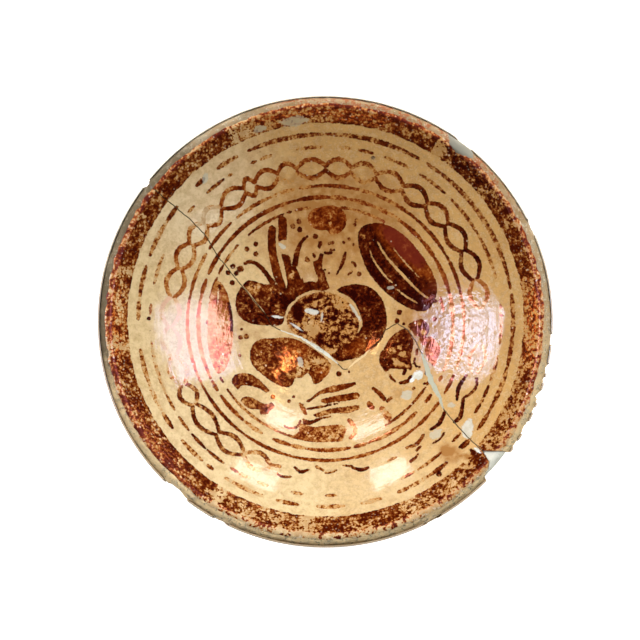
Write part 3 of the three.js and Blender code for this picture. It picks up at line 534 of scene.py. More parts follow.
def clay_outside():
    """The clay from the inner side of the lip, round the outside, to the underside's middle."""
    foot = [
        (FOOT_RADIUS, FOOT_CHAMFER),
        (FOOT_RADIUS - FOOT_CHAMFER, 0),
        (FOOT_INNER_RADIUS + FOOT_CHAMFER, 0),
        (FOOT_INNER_RADIUS, FOOT_CHAMFER),
        (FOOT_INNER_RADIUS, RECESS_Z),
        (FOOT_INNER_RADIUS / 2, RECESS_Z),
        (1.0, RECESS_Z),
    ]
    lip = arc(LIP_MIDDLE, LIP_RADIUS, INNER_TANGENT, OUTER_TANGENT, 28)
    return np.concatenate([lip[1:], outer_wall(0)[1:], foot_corner(0)[1:], foot])


def back_glaze_face(offset):
    """One face of the back glaze, from the lip to the foot."""
    lip = arc(LIP_MIDDLE, LIP_RADIUS + offset, math.radians(BACK_GLAZE_STOP), OUTER_TANGENT, 14)
    foot = FOOT_RADIUS + offset
    end = [(foot, (FILLET_Z + FOOT_GLAZE_STOP) / 2), (foot, FOOT_GLAZE_STOP)]
    return np.concatenate([lip, outer_wall(offset)[1:], foot_corner(offset)[1:], end])


def sphere_z(radius, reach):
    """Height of the hollow's curve, or of one that runs inside or outside it."""
    return BOWL_MIDDLE_Z - np.sqrt(np.maximum(reach**2 - radius**2, 0))


def on_hollow(plan, reach):
    """The points of that curve over points in plan."""
    return np.column_stack([plan, sphere_z(np.hypot(*plan.T), reach)])


# Meshes

def make_object(name, vertices, faces):
    """An object with a closed mesh, from millimetres."""
    mesh = bpy.data.meshes.new(name)
    mesh.from_pydata((np.asarray(vertices) * MM).tolist(), [], faces)
    mesh.update()
    obj = bpy.data.objects.new(name, mesh)
    bpy.context.scene.collection.objects.link(obj)
    return obj


def vertices_of(obj):
    """An object's vertices in millimetres."""
    co = np.empty(len(obj.data.vertices) * 3)
    obj.data.vertices.foreach_get("co", co)
    return co.reshape(-1, 3) / MM


def move_vertices(obj, vertices):
    obj.data.vertices.foreach_set("co", (vertices * MM).ravel())
    obj.data.update()


def disc(cells):
    """A square grid pressed into a unit disc: its points, its quads and its edge in order."""
    t = np.linspace(-1, 1, cells + 1)
    a, b = np.meshgrid(t, t)
    wide = np.abs(a) >= np.abs(b)
    radius = np.where(wide, a, b)
    longer = np.where(radius == 0, 1, radius)
    angle = np.where(wide, math.pi / 4 * b / longer, math.pi / 2 - math.pi / 4 * a / longer)
    points = np.stack([radius * np.cos(angle), radius * np.sin(angle)], -1).reshape(-1, 2)
    number = np.arange((cells + 1) ** 2).reshape(cells + 1, cells + 1)
    corners = (number[:-1, :-1], number[:-1, 1:], number[1:, 1:], number[1:, :-1])
    quads = np.stack(corners, -1).reshape(-1, 4)
    edge = np.concatenate([number[0, :-1], number[:-1, -1], number[-1, :0:-1], number[:0:-1, 0]])
    return points, quads, edge


def turned(name, cells, edge_radius, top, rows):
    """A solid with a round upper side, closed by rows turned about the axis.

    top gives the upper side's heights at points in plan. rows gives pairs of radius and height, each a
    number or one number for each angle.
    """
    points, quads, edge = disc(cells)
    plan = points * edge_radius
    vertices = [np.column_stack([plan, top(plan)])]
    faces = quads.tolist()
    turn = np.arctan2(points[edge, 1], points[edge, 0])
    before = edge
    count = len(plan)
    for row_radius, row_z in rows(turn):
        row_radius = np.broadcast_to(row_radius, turn.shape)
        row_z = np.broadcast_to(row_z, turn.shape)
        vertices.append(np.stack([row_radius * np.cos(turn), row_radius * np.sin(turn), row_z], -1))
        row = count + np.arange(len(turn))
        faces += np.stack([before, row, np.roll(row, -1), np.roll(before, -1)], -1).tolist()
        before = row
        count += len(turn)
    pole = vertices[-1].mean(0)
    vertices.append(pole[None])
    faces += [(a, count, b) for a, b in zip(before.tolist(), np.roll(before, -1).tolist())]
    return make_object(name, np.concatenate(vertices), faces)


def ring(name, section, segments):
    """A closed section that stays off the axis, turned about it."""
    turn = np.arange(segments) * 2 * math.pi / segments
    section = np.asarray(section)
    count = len(section)
    x = section[None, :, 0] * np.cos(turn)[:, None]
    y = section[None, :, 0] * np.sin(turn)[:, None]
    z = np.broadcast_to(section[None, :, 1], x.shape)
    number = np.arange(segments * count).reshape(segments, count)
    beyond = np.roll(number, -1, 0)
    corners = (number, np.roll(number, -1, 1), np.roll(beyond, -1, 1), beyond)
    faces = np.stack(corners, -1).reshape(-1, 4).tolist()
    return make_object(name, np.stack([x, y, z], -1).reshape(-1, 3), faces)


def prism(outline, bottom=-DISH_HEIGHT, top=2 * DISH_HEIGHT):
    """A counter-clockwise outline in plan stood up between two heights, as vertices and faces."""
    outline = np.asarray(outline, float)
    count = len(outline)
    low = np.column_stack([outline, np.full(count, bottom)])
    high = np.column_stack([outline, np.full(count, top)])
    sides = [(i, (i + 1) % count, count + (i + 1) % count, count + i) for i in range(count)]
    caps = [tuple(range(count - 1, -1, -1)), tuple(range(count, 2 * count))]
    return np.concatenate([low, high]), sides + caps


def cutter(*shapes):
    """One object from shapes that don't touch each other."""
    vertices = []
    faces = []
    count = 0
    for shape_vertices, shape_faces in shapes:
        vertices.append(shape_vertices)
        faces += [tuple(count + corner for corner in face) for face in shape_faces]
        count += len(shape_vertices)
    return make_object("cutter", np.concatenate(vertices), faces)


def combine(obj, operation, *shapes):
    """Cuts an object by some shapes, or trims it to them."""
    tool = cutter(*shapes)
    modifier = obj.modifiers.new("cut", "BOOLEAN")
    modifier.solver = "MANIFOLD"
    modifier.operation = operation
    modifier.object = tool
    evaluated = obj.evaluated_get(bpy.context.evaluated_depsgraph_get())
    result = bpy.data.meshes.new_from_object(evaluated)
    obj.modifiers.remove(modifier)
    obj.data = result
    bpy.data.objects.remove(tool)


def copy_of(obj, name):
    twin = bpy.data.objects.new(name, obj.data.copy())
    bpy.context.scene.collection.objects.link(twin)
    return twin


# Noise for shapes

def waves(angle, count, sharp=1.0):
    """A smooth closed wobble round the rim, between about -1 and 1."""
    total = np.zeros_like(angle)
    for number in range(1, count + 1):
        size = 1 / number**sharp
        total += size * np.sin(number * angle + rng.uniform(0, 2 * math.pi)) * rng.uniform(0.4, 1)
    return total / np.abs(total).max()


def wander(count, smooth):
    """A row of small seeded offsets between -1 and 1, blurred along the row."""
    raw = rng.uniform(-1, 1, count + 2 * smooth)
    kernel = np.hanning(2 * smooth + 1)
    return np.convolve(raw, kernel / kernel.sum(), "valid") * math.sqrt(smooth)


def lumps(points, size):
    """Cheap solid noise between -1 and 1, from a few plane waves of about this wavelength."""
    total = np.zeros(len(points))
    for _ in range(9):
        direction = rng.normal(size=3)
        direction *= 2 * math.pi / size / np.linalg.norm(direction) * rng.uniform(0.6, 1.6)
        total += np.sin(points @ direction + rng.uniform(0, 2 * math.pi))
    return total / 4


def roughened(values, points, layers):
    """Values at some points with lumps of these sizes and heights added."""
    for size, height in layers:
        values = values + height * lumps(points, size)
    return values


# The break in plan

def unit(v):
    return v / np.linalg.norm(v, axis=-1, keepdims=True)


def rotated(x, y, degrees):
    """Coordinates in plan, turned about the origin."""
    c, s = math.cos(math.radians(degrees)), math.sin(math.radians(degrees))
    return x * c - y * s, x * s + y * c


def jagged(path):
    """A path cut into short steps that wander to either side."""
    path = np.asarray(path, float)
    pieces = [path[:1]]
    for a, b in zip(path[:-1], path[1:]):
        steps = max(int(np.linalg.norm(b - a) / JAG_STEP), 1)
        share = np.linspace(0, 1, steps + 1)[1:, None]
        pieces.append(a + share * (b - a))
    points = np.concatenate(pieces)
    side = sideways(points)
    offset = np.clip(wander(len(points), 1), -1.5, 1.5) * JAG
    offset[[0, -1]] = 0
    return points + side * offset[:, None]


def sideways(points):
    """The direction to the left of a path at each of its points."""
    forward = unit(np.gradient(points, axis=0))
    return np.stack([-forward[:, 1], forward[:, 0]], -1)


REACH = 4 * RIM_RADIUS
apex = np.array(BREAK[-1], float)
west_end = np.array(BREAK[0], float) + unit(np.subtract(BREAK[0], BREAK[1])) * REACH
break_line = jagged(BREAK)


def wedge_edge(upper):
    """One edge of the wedge, from the end of the break outwards."""
    angle = math.radians(WEDGE_EDGES[0 if upper else 1])
    corner = np.array([] if upper else LOWER_CORNER).reshape(-1, 2)
    start = apex if upper else corner[-1]
    return np.concatenate([corner, [start + REACH * np.array([math.cos(angle), math.sin(angle)])]])


def side_of_break(upper, gap):
    """Everything on one side of the break, which opens into the wedge at its eastern end."""
    sign = 1 if upper else -1
    path = np.concatenate([west_end[None], break_line, wedge_edge(upper)])
    path = path + sideways(path) * sign * gap / 2
    edge = path[-1]
    across = unit(edge - west_end)
    out = np.array([-across[1], across[0]]) * sign * REACH
    outline = np.concatenate([path, [edge + out, west_end + out]])
    return prism(outline if upper else outline[::-1])


def strip(path, width, rough=0.0, ends=1.0, widest=0.5):
    """A strip along a path. Its edges wander by a share of its width, and its ends may be narrower."""
    path = np.asarray(path, float)
    side = sideways(path)
    along = np.linspace(0, 1, len(path)) ** (math.log(0.5) / math.log(widest))
    swell = ends + (1 - ends) * np.sin(math.pi * along)
    edges = []
    for sign in (-1, 1):
        half = width / 2 * swell * (1 + rough * np.clip(wander(len(path), 2), -1.5, 1.5))
        edges.append(path + side * (sign * half)[:, None])
    return prism(np.concatenate([edges[0], edges[1][::-1]]))


def stretch(numbers):
    """The jagged line between two numbered points of the break."""
    first, last = (np.argmin(np.linalg.norm(break_line - np.array(BREAK[n]), axis=1)) for n in numbers)
    return break_line[first:last + 1]


def oval(x, y, length, width, turn, rough=0.16, sides=28):
    """A ragged oval in plan."""
    t = np.arange(sides) * 2 * math.pi / sides
    size = 1 + rough * waves(t, 7, 0.4)
    a, b = rotated(size * length / 2 * np.cos(t), size * width / 2 * np.sin(t), turn)
    return np.stack([x + a, y + b], -1)


def unit_ball(subdivisions=4):
    """Vertices and faces of a ball of radius 1."""
    mesh = bmesh.new()
    bmesh.ops.create_icosphere(mesh, subdivisions=subdivisions, radius=1)
    vertices = np.array([vertex.co for vertex in mesh.verts])
    faces = [tuple(vertex.index for vertex in face.verts) for face in mesh.faces]
    mesh.free()
    return vertices, faces


def scoop(angle, length, depth, height, margin=0.0):
    """A rough scoop over the lip."""
    ball, faces = unit_ball()
    ball *= roughened(1, ball, CHIP_LUMPS)[:, None]
    ball = ball * (depth + margin, length / 2 + margin, height + margin) + (RIM_RADIUS, 0, DISH_HEIGHT)
    x, y = rotated(ball[:, 0], ball[:, 1], angle)
    return np.stack([x, y, ball[:, 2]], -1), faces


# Whole shapes before they broke

def wheel_marks(points):
    """Low rings left by the potter's fingers, and unevenness of the glaze."""
    reach = np.hypot(points[:, 0], points[:, 1])
    rings = np.interp(reach, np.arange(40) * WHEEL_RING_STEP, wander(40, 1))
    marks = roughened(WHEEL_RING_HEIGHT * rings, points, GLAZE_LUMPS)
    return marks * np.clip((GLAZE_EDGE - reach) / 5, 0, 1)


def front_glaze_whole():
    """The front glaze, which thins out over the lip to a ragged edge."""
    wave_angles = np.linspace(-math.pi, math.pi, 721)[:-1]
    wave = LIP_GLAZE_WAVE * waves(wave_angles, 140, 0.3)
    wave += np.interp(np.degrees(wave_angles), *zip(*LIP_GLAZE_STOPS), period=360)

    def top(plan):
        points = on_hollow(plan, BOWL_RADIUS)
        return points[:, 2] + wheel_marks(points)

    def rows(turn):
        stop = np.radians(np.interp(turn, wave_angles, wave, period=2 * math.pi))
        for share in np.linspace(0, 1, 7)[1:]:
            lean = INNER_TANGENT + share * (stop - INNER_TANGENT)
            reach = LIP_RADIUS + COAT * (1 - share) + WORN_GLAZE_EDGE * share
            yield LIP_MIDDLE_RADIUS + reach * np.cos(lean), LIP_MIDDLE_Z + reach * np.sin(lean)
        for share in np.linspace(1, 0, 13)[:-1]:
            radius = (GLAZE_EDGE + GLAZE_TUCK) * share
            yield radius, sphere_z(radius, BOWL_RADIUS + GLAZE_THICKNESS)

    return turned("front_glaze", FRONT_CELLS, GLAZE_EDGE, top, rows)


def clay_whole():
    """The clay, with a worn lip."""
    edge = CLAY_BOWL_RADIUS * math.sin(LIP_ANGLE)

    def top(plan):
        return on_hollow(plan, CLAY_BOWL_RADIUS)[:, 2]

    obj = turned("clay", CLAY_CELLS, edge, top, lambda turn: clay_outside())
    points = vertices_of(obj)
    radius = np.hypot(points[:, 0], points[:, 1])
    on_lip = np.clip((radius - edge) / 1.5, 0, 1) * np.clip((points[:, 2] - LIP_MIDDLE_Z + 1) / 2, 0, 1)
    outward = points[:, :2] / np.maximum(radius, 1)[:, None]
    wear = roughened(0, points, LIP_LUMPS_OUTWARD) - LIP_WORN_INWARD
    points[:, :2] += outward * (on_lip * wear)[:, None]
    points[:, 2] += on_lip * (roughened(0, points, LIP_LUMPS_UPWARD) - LIP_WORN_DOWNWARD)
    move_vertices(obj, points)
    return obj


def back_glaze_whole():
    section = np.concatenate([back_glaze_face(FIT_GAP)[::-1], back_glaze_face(COAT)])
    return ring("back_glaze", section, 4 * CLAY_CELLS)


def base_glaze_whole():
    edge = FOOT_INNER_RADIUS - FIT_GAP

    def top(plan):
        return np.full(len(plan), RECESS_Z - FIT_GAP)

    def rows(turn):
        for share in (1, 0.8, 0.6, 0.4, 0.2):
            yield edge * share, RECESS_Z - COAT

    return turned("base_glaze", BASE_CELLS, edge, top, rows)


def fill_layer_whole():
    """The upper few millimetres of the hollow, with an uneven skin."""
    def top(plan):
        points = on_hollow(plan, BOWL_RADIUS)
        return roughened(points[:, 2], points, FILL_LUMPS) - FILL_SUNK

    def rows(turn):
        for share in np.linspace(1, 0, 25)[:-1]:
            yield GLAZE_EDGE * share, sphere_z(GLAZE_EDGE * share, BOWL_RADIUS + FILL_DEPTH)

    return turned("fill_layer", FILL_CELLS, GLAZE_EDGE, top, rows)


clay = clay_whole()
front_glaze = front_glaze_whole()
back_glaze = back_glaze_whole()
base_glaze = base_glaze_whole()
fill_layer = fill_layer_whole()

# Cuts that the whole shapes take before they are split

chips = [scoop(*chip) for chip in RIM_CHIPS]
wide_chips = [scoop(*chip, margin=COAT) for chip in RIM_CHIPS]
filled_chip = scoop(*FILLED_CHIP)
seats = {
    name: strip(stretch(ends), width, FILL_RAGGED, FILL_ENDS, widest)
    for name, (ends, width, widest) in CRACK_FILLS.items()
}
pinholes = [prism(oval(x, y, width, width * 0.8, 0, sides=12)) for x, y, width in PINHOLES]

pieces = {}


def take(node, whole, *shapes):
    """A piece trimmed from a whole shape, to stand for this node."""
    pieces[node] = copy_of(whole, f"{node}_fine")
    combine(pieces[node], "INTERSECT", *shapes)


for name, seat in seats.items():
    take(name, fill_layer, seat)
take("north_east_rim_fill", clay, filled_chip)
combine(clay, "DIFFERENCE", filled_chip, *chips)
combine(front_glaze, "DIFFERENCE", filled_chip, *wide_chips, *seats.values(), *pinholes)
combine(back_glaze, "DIFFERENCE", filled_chip, *wide_chips)
take("glue_line", clay, strip(np.concatenate([west_end[None], break_line]), BREAK_GAP - GLUE_SLACK))

around = np.linspace(0, 2 * math.pi, 257)[:-1]
set_back = (RIM_RADIUS - RIM_FILL_SETBACK) * np.stack([np.cos(around), np.sin(around)], -1)
take("east_rim_fill", clay, prism([apex, *wedge_edge(False), *wedge_edge(True)]))
combine(pieces["east_rim_fill"], "INTERSECT", prism(set_back))

WHOLES = {"sherd": clay, "front_glaze": front_glaze, "back_glaze": back_glaze, "base_glaze": base_glaze}
for side in ("upper", "lower"):
    half = side_of_break(side == "upper", BREAK_GAP)
    for kind, whole in WHOLES.items():
        take(f"{side}_{kind}", whole, half)
for whole in (*WHOLES.values(), fill_layer):
    bpy.data.objects.remove(whole)


# The painting, as numbers on the front glaze's vertices

def curve(points, closed):
    """A smooth path through some points."""
    points = np.asarray(points, float)
    ends = (points[-1:], points[:2]) if closed else (points[:1], points[-1:])
    row = np.concatenate([ends[0], points, ends[1]])
    spans = []
    for a, b, c, d in zip(row, row[1:], row[2:], row[3:]):
        steps = max(int(np.linalg.norm(c - b) / CURVE_STEP), 1)
        t = (np.arange(steps) / steps)[:, None]
        bend = (2 * a - 5 * b + 4 * c - d) * t**2 + (3 * b - a - 3 * c + d) * t**3
        spans.append(b + ((c - a) * t + bend) / 2)
    return np.concatenate([*spans, points[:1] if closed else points[-1:]])


def distance_to(points, path, width):
    """How far points are from a path, less half of its width, which may change along it."""
    along = np.diff(path, axis=0)
    length = np.maximum((along**2).sum(-1), 1e-9)
    offset = points[:, None] - path[:-1]
    share = np.clip((offset * along).sum(-1) / length, 0, 1)
    gap = np.linalg.norm(offset - share[..., None] * along, axis=-1)
    return (gap - (width[:-1] + share * np.diff(width)) / 2).min(-1)


def inside(points, path):
    """Whether points lie within a closed path."""
    x, y = points[:, :1], points[:, 1:]
    a, b = path[:-1], path[1:]
    rise = np.where(a[:, 1] == b[:, 1], 1e-9, b[:, 1] - a[:, 1])
    level = (a[:, 1] > y) != (b[:, 1] > y)
    beyond = x < a[:, 0] + (y - a[:, 1]) / rise * (b[:, 0] - a[:, 0])
    return (level & beyond).sum(-1) % 2 == 1


def on_ring(degrees, radius):
    """Points in plan on a painted ring."""
    turn = np.radians(degrees)
    return np.stack([RING_CENTRE[0] + radius * np.cos(turn), RING_CENTRE[1] + radius * np.sin(turn)], -1)


def place(points, x, y, length, width, turn):
    """1 in the middle of an oval place, fading to 0 at its edge."""
    along, across = rotated(points[:, 0] - x, points[:, 1] - y, -turn)
    reach = np.hypot(along / length * 2, across / width * 2)
    return np.clip(PLACE_FADE - PLACE_FADE * reach, 0, 1)


class Painting:
    """At points in plan: how far the nearest painted edge is, below 0 inside, and how its paint looks."""

    def __init__(self, points):
        self.points = points
        self.edge = np.full(len(points), FAR)
        self.wear = np.zeros(len(points))
        self.red = np.zeros(len(points))

    def near(self, path):
        """Numbers of the points that may be near a path."""
        low, high = path.min(0) - FAR, path.max(0) + FAR
        return np.flatnonzero(((self.points > low) & (self.points < high)).all(-1))

    def lay(self, which, edge, wear, red):
        """Paints these points where this edge is nearer than those before it."""
        closer = edge < self.edge[which]
        self.edge[which[closer]] = edge[closer]
        self.wear[which[closer]] = np.broadcast_to(wear, edge.shape)[closer]
        self.red[which[closer]] = red

    def blot(self, wear, red, outline):
        path = curve(outline, True)
        which = self.near(path)
        edge = distance_to(self.points[which], path, np.zeros(len(path)))
        edge[inside(self.points[which], path)] *= -1
        self.lay(which, edge, wear, red)

    def stroke_distance(self, widths, points):
        path = curve(points, False)
        width = np.interp(np.linspace(0, 1, len(path)), np.linspace(0, 1, len(widths)), widths)
        which = self.near(path)
        return which, distance_to(self.points[which], path, width)

    def stroke(self, wear, red, widths, points):
        which, edge = self.stroke_distance(widths, points)
        self.lay(which, edge, wear, red)

    def vein(self, width, points):
        """A line left bare in what is painted so far."""
        which, gap = self.stroke_distance((BRUSH_END * width, width, BRUSH_END * width), points)
        self.edge[which] = np.maximum(self.edge[which], -gap)

    def dot(self, x, y, width):
        which = self.near(np.array([[x, y]]))
        gap = np.hypot(*(self.points[which] - (x, y)).T)
        self.lay(which, gap - width / 2, DOT_WEAR, DOT_RED)

    def ring(self, radius, width, red, dashes):
        for start, end, wear in dashes:
            degrees = np.linspace(start, end, max(int((end - start) / RING_STEP), 1) + 2)
            widths = (BRUSH_END * width, width, width, BRUSH_END * width)
            self.stroke(wear, red, widths, on_ring(degrees, radius))

    def link(self, start, end, outer_wear, inner_wear, red):
        share = np.linspace(0, 1, 7)
        widths = (CHAIN_END * CHAIN_STROKE, CHAIN_STROKE, CHAIN_END * CHAIN_STROKE)
        for side, wear in ((1, outer_wear), (-1, inner_wear)):
            radius = CHAIN_RADIUS + side * (CHAIN_GAP + CHAIN_SWING * np.sin(math.pi * share))
            path = on_ring(start + share * (end - start), radius)
            self.stroke(wear, red, widths, path)

    def scrap(self, wear, red, widths, places):
        self.stroke(wear, red, widths, on_ring(*np.transpose(places)))

    def band(self):
        offset = self.points - RING_CENTRE
        degrees = np.degrees(np.arctan2(offset[:, 1], offset[:, 0]))
        wear = np.interp(degrees, *zip(*BAND_WEAR), period=360)
        radius = np.hypot(*offset.T)
        end = np.interp(degrees, *zip(*BAND_ENDS), period=360)
        wear = wear + np.clip((radius - end) / BAND_RUB, 0, BAND_RUBBED)
        self.lay(np.arange(len(offset)), BAND_RADIUS - radius, wear, BAND_RED)


def paint_front(points):
    """The whole painting at points in plan."""
    painting = Painting(points)
    kinds = (
        (painting.blot, BLOTS), (painting.vein, VEINS), (painting.stroke, STROKES), (painting.dot, DOTS),
        (painting.ring, RINGS), (painting.link, CHAIN), (painting.scrap, CHAIN_SCRAPS))
    for paint, marks in kinds:
        for mark in marks:
            paint(*mark)
    painting.band()
    numbers = {"edge": painting.edge, "wear": painting.wear, "red": painting.red}
    for name in ("darkened", "pale", "film", "loss", "white"):
        numbers[name] = np.zeros(len(points))
    changes = {"wear": WORN, "red": REDDENED, "darkened": DARKENED_PLACES, "pale": PALE, "film": FILMED}
    for name, places in changes.items():
        for *where, amount in places:
            numbers[name] += amount * place(points, *where)
    for *where, white in GLAZE_LOSSES:
        loss = place(points, *where)
        numbers["white"][loss > numbers["loss"]] = white
        numbers["loss"] = np.maximum(numbers["loss"], loss)
    return numbers


def keep_numbers(piece, numbers):
    """Puts one number for each vertex on a mesh, by name."""
    for name, values in numbers.items():
        layer = piece.data.attributes.new(name, "FLOAT", "POINT")
        layer.data.foreach_set("value", np.asarray(values, np.float32))


# Materials

WHEEL_RADIUS = 70  # where patterns drawn out round the wheel have their length

# Colours of the front glaze
CREAM = (0.76, 0.57, 0.31)
AMBER = (0.65, 0.37, 0.13)
PALE_CREAM = (0.85, 0.67, 0.45)
DULL_CREAM = (0.44, 0.26, 0.10)
GRAINED_CREAM = (0.46, 0.28, 0.12)
BRIGHT_CREAM = (0.88, 0.66, 0.42)
CRAZING = (0.34, 0.18, 0.07)
SPECK = (0.22, 0.11, 0.045)
# colour laid over the glaze at the darkened places
DARKENED_GLAZE = (0.40, 0.178, 0.05)
GHOST = (0.42, 0.20, 0.06)
# pink painted on lost lustre as the sheen of a mirrored soft box
PAINTED_SHEEN_GHOST = (0.85, 0.42, 0.28)
# pink-violet painted on the scuffs as the sheen of a mirrored soft box
PAINTED_SHEEN_PINK = (0.66, 0.40, 0.34)
PIT = (0.42, 0.22, 0.10)
DARK_FLAKE = (0.24, 0.15, 0.07)
PALE_FLAKE = (0.76, 0.60, 0.42)

# Colours of its lustre, from thick to faint, and of the filling in its losses
DARK_LUSTRE = (0.03, 0.0005, 0.0001)
RED_DARK_LUSTRE = (0.14, 0.012, 0.0005)
LUSTRE = (0.14, 0.01, 0.0005)
RED_LUSTRE = (0.40, 0.068, 0.006)
FAINT_LUSTRE = (0.62, 0.28, 0.07)
RED_COAT = (0.28, 0.03, 0.014)
# pale colour of the glints painted on the lustre
PAINTED_GLINT = (0.86, 0.62, 0.42)
GREY_SPOT = (0.36, 0.34, 0.22)
WHITE_SPOT = (0.86, 0.85, 0.80)
DUSTY_SPOT = (0.50, 0.47, 0.33)

# Colours of the clay, the back, the glue and the fillings
CLAY = (0.38, 0.25, 0.13)
DARK_CLAY = (0.27, 0.18, 0.08)
# clay colour painted lighter as light on the southern lip
SOUTH_PAINTED_LIGHT_CLAY = (0.80, 0.57, 0.30)
DIRTY_CLAY = (0.13, 0.095, 0.05)
GREY_CLAY = (0.38, 0.32, 0.22)
FLAKED_CLAY = (0.62, 0.53, 0.38)
PITTED_CLAY = (0.14, 0.085, 0.04)
LIP_LUSTRE = (0.30, 0.075, 0.012)
BACK_CREAM = (0.58, 0.42, 0.23)
BACK_AMBER = (0.50, 0.33, 0.16)
BACK_DULL_CREAM = (0.45, 0.29, 0.13)
# back glaze colour painted lighter as light at the northern lip
NORTH_LIP_PAINTED_LIGHT_CREAM = (0.95, 0.86, 0.70)
BACK_DARK_LUSTRE = (0.16, 0.03, 0.01)
BACK_LUSTRE = (0.36, 0.11, 0.04)
# colour of the darker top of the back by the lip
BACK_LIP_DARK = (0.40, 0.28, 0.16)
DARK_GLUE = (0.06, 0.035, 0.015)
GLUE = (0.20, 0.13, 0.06)
WHITE_FILLING = (0.70, 0.68, 0.59)
DIRTY_WHITE_FILLING = (0.44, 0.41, 0.32)
YELLOWED_FILLING = (0.78, 0.57, 0.30)
GREY_FILLING = (0.50, 0.49, 0.38)
DIRTY_GREY_FILLING = (0.32, 0.30, 0.21)
NORTH_DIRT = (0.25, 0.23, 0.18)


class Number:
    """A number in a material's nodes, to be added and multiplied as in a formula."""

    def __init__(self, surface, socket):
        self.surface = surface
        self.socket = socket

    def __add__(self, other):
        return self.surface.math("ADD", self, other)

    __radd__ = __add__

    def __sub__(self, other):
        return self.surface.math("SUBTRACT", self, other)

    def __rsub__(self, other):
        return self.surface.math("SUBTRACT", other, self)

    def __mul__(self, other):
        return self.surface.math("MULTIPLY", self, other)


class Surface:
    """A material with one Principled shader. Patterns on it are placed and sized in millimetres."""

    def __init__(self, name, **settings):
        self.material = bpy.data.materials.new(name)
        self.material.use_nodes = True
        self.tree = self.material.node_tree
        self.shader = self.tree.nodes["Principled BSDF"]
        here = self.node("TexCoord").outputs["Object"]
        self.place = self.node("VectorMath", {0: here, "Scale": 1 / MM}, operation="SCALE").outputs[0]
        apart = self.node("SeparateXYZ", {0: self.place})
        self.x, self.y, self.z = (Number(self, apart.outputs[axis]) for axis in "XYZ")
        self.turn = self.math("ARCTAN2", self.y, self.x)
        self.radius = self.math("SQRT", self.x * self.x + self.y * self.y)
        self.set(**settings)

    def node(self, kind, inputs=(), **options):
        """A new node with its options set, and its inputs, by name or number, set or linked."""
        node = self.tree.nodes.new("ShaderNode" + kind)
        for name, value in options.items():
            setattr(node, name, value)
        for name, value in dict(inputs).items():
            self.join(value, node.inputs[name])
        return node

    def join(self, value, socket):
        """Links a value into a socket, or sets it there."""
        if isinstance(value, Number):
            self.tree.links.new(value.socket, socket)
        elif isinstance(value, bpy.types.NodeSocket):
            self.tree.links.new(value, socket)
        elif isinstance(value, tuple) and socket.type == "RGBA":
            socket.default_value = (*value, 1)
        else:
            socket.default_value = value

    def set(self, **settings):
        """Sets the shader's sockets, named with _ for spaces."""
        names = {name.lower().replace(" ", "_"): name for name in self.shader.inputs.keys()}
        for name, value in settings.items():
            self.join(value, self.shader.inputs[names[name]])

    def math(self, operation, *values):
        return Number(self, self.node("Math", enumerate(values), operation=operation).outputs[0])

    def polar(self, along, outward):
        """Places drawn out round the wheel: lengths of the pattern along the turn and outwards."""
        inputs = {0: self.turn * (WHEEL_RADIUS / along), 1: self.radius * (1 / outward)}
        return self.node("CombineXYZ", inputs).outputs[0]

    def noise(self, size, detail=2.0, rough=0.5, where=None):
        """Noise of about this size, spread about 0.5."""
        inputs = {"Vector": where or self.place, "Scale": 1 / size, "Detail": detail, "Roughness": rough}
        return Number(self, self.node("TexNoise", inputs).outputs["Fac"])

    def cells(self, size, feature="F1"):
        """How far it is to the middles of cells of about this size, or to their edges."""
        node = self.node("TexVoronoi", {"Vector": self.place, "Scale": 1 / size}, feature=feature)
        return Number(self, node.outputs["Distance"])

    def smooth(self, value, low, high):
        """0 below low, 1 above high, and smooth between."""
        inputs = {"Value": value, "From Min": low, "From Max": high}
        node = self.node("MapRange", inputs, interpolation_type="SMOOTHSTEP")
        return Number(self, node.outputs["Result"])

    def mix(self, share, a, b):
        """A colour between two, as far as the share says. Inputs 6 and 7 and output 2 are the colours."""
        return self.node("Mix", {"Factor": share, 6: a, 7: b}, data_type="RGBA").outputs[2]

    def coats(self, colour, *coats):
        """A colour with others laid over it, each as far as its share says."""
        for share, coat in coats:
            colour = self.mix(share, colour, coat)
        return colour

    def number(self, name):
        """A number kept on the mesh."""
        return Number(self, self.node("Attribute", attribute_name=name).outputs["Fac"])

    def bump(self, height):
        """Small relief, its height in millimetres."""
        node = self.node("Bump", {"Strength": 1, "Distance": MM, "Height": height})
        self.set(normal=node.outputs[0])


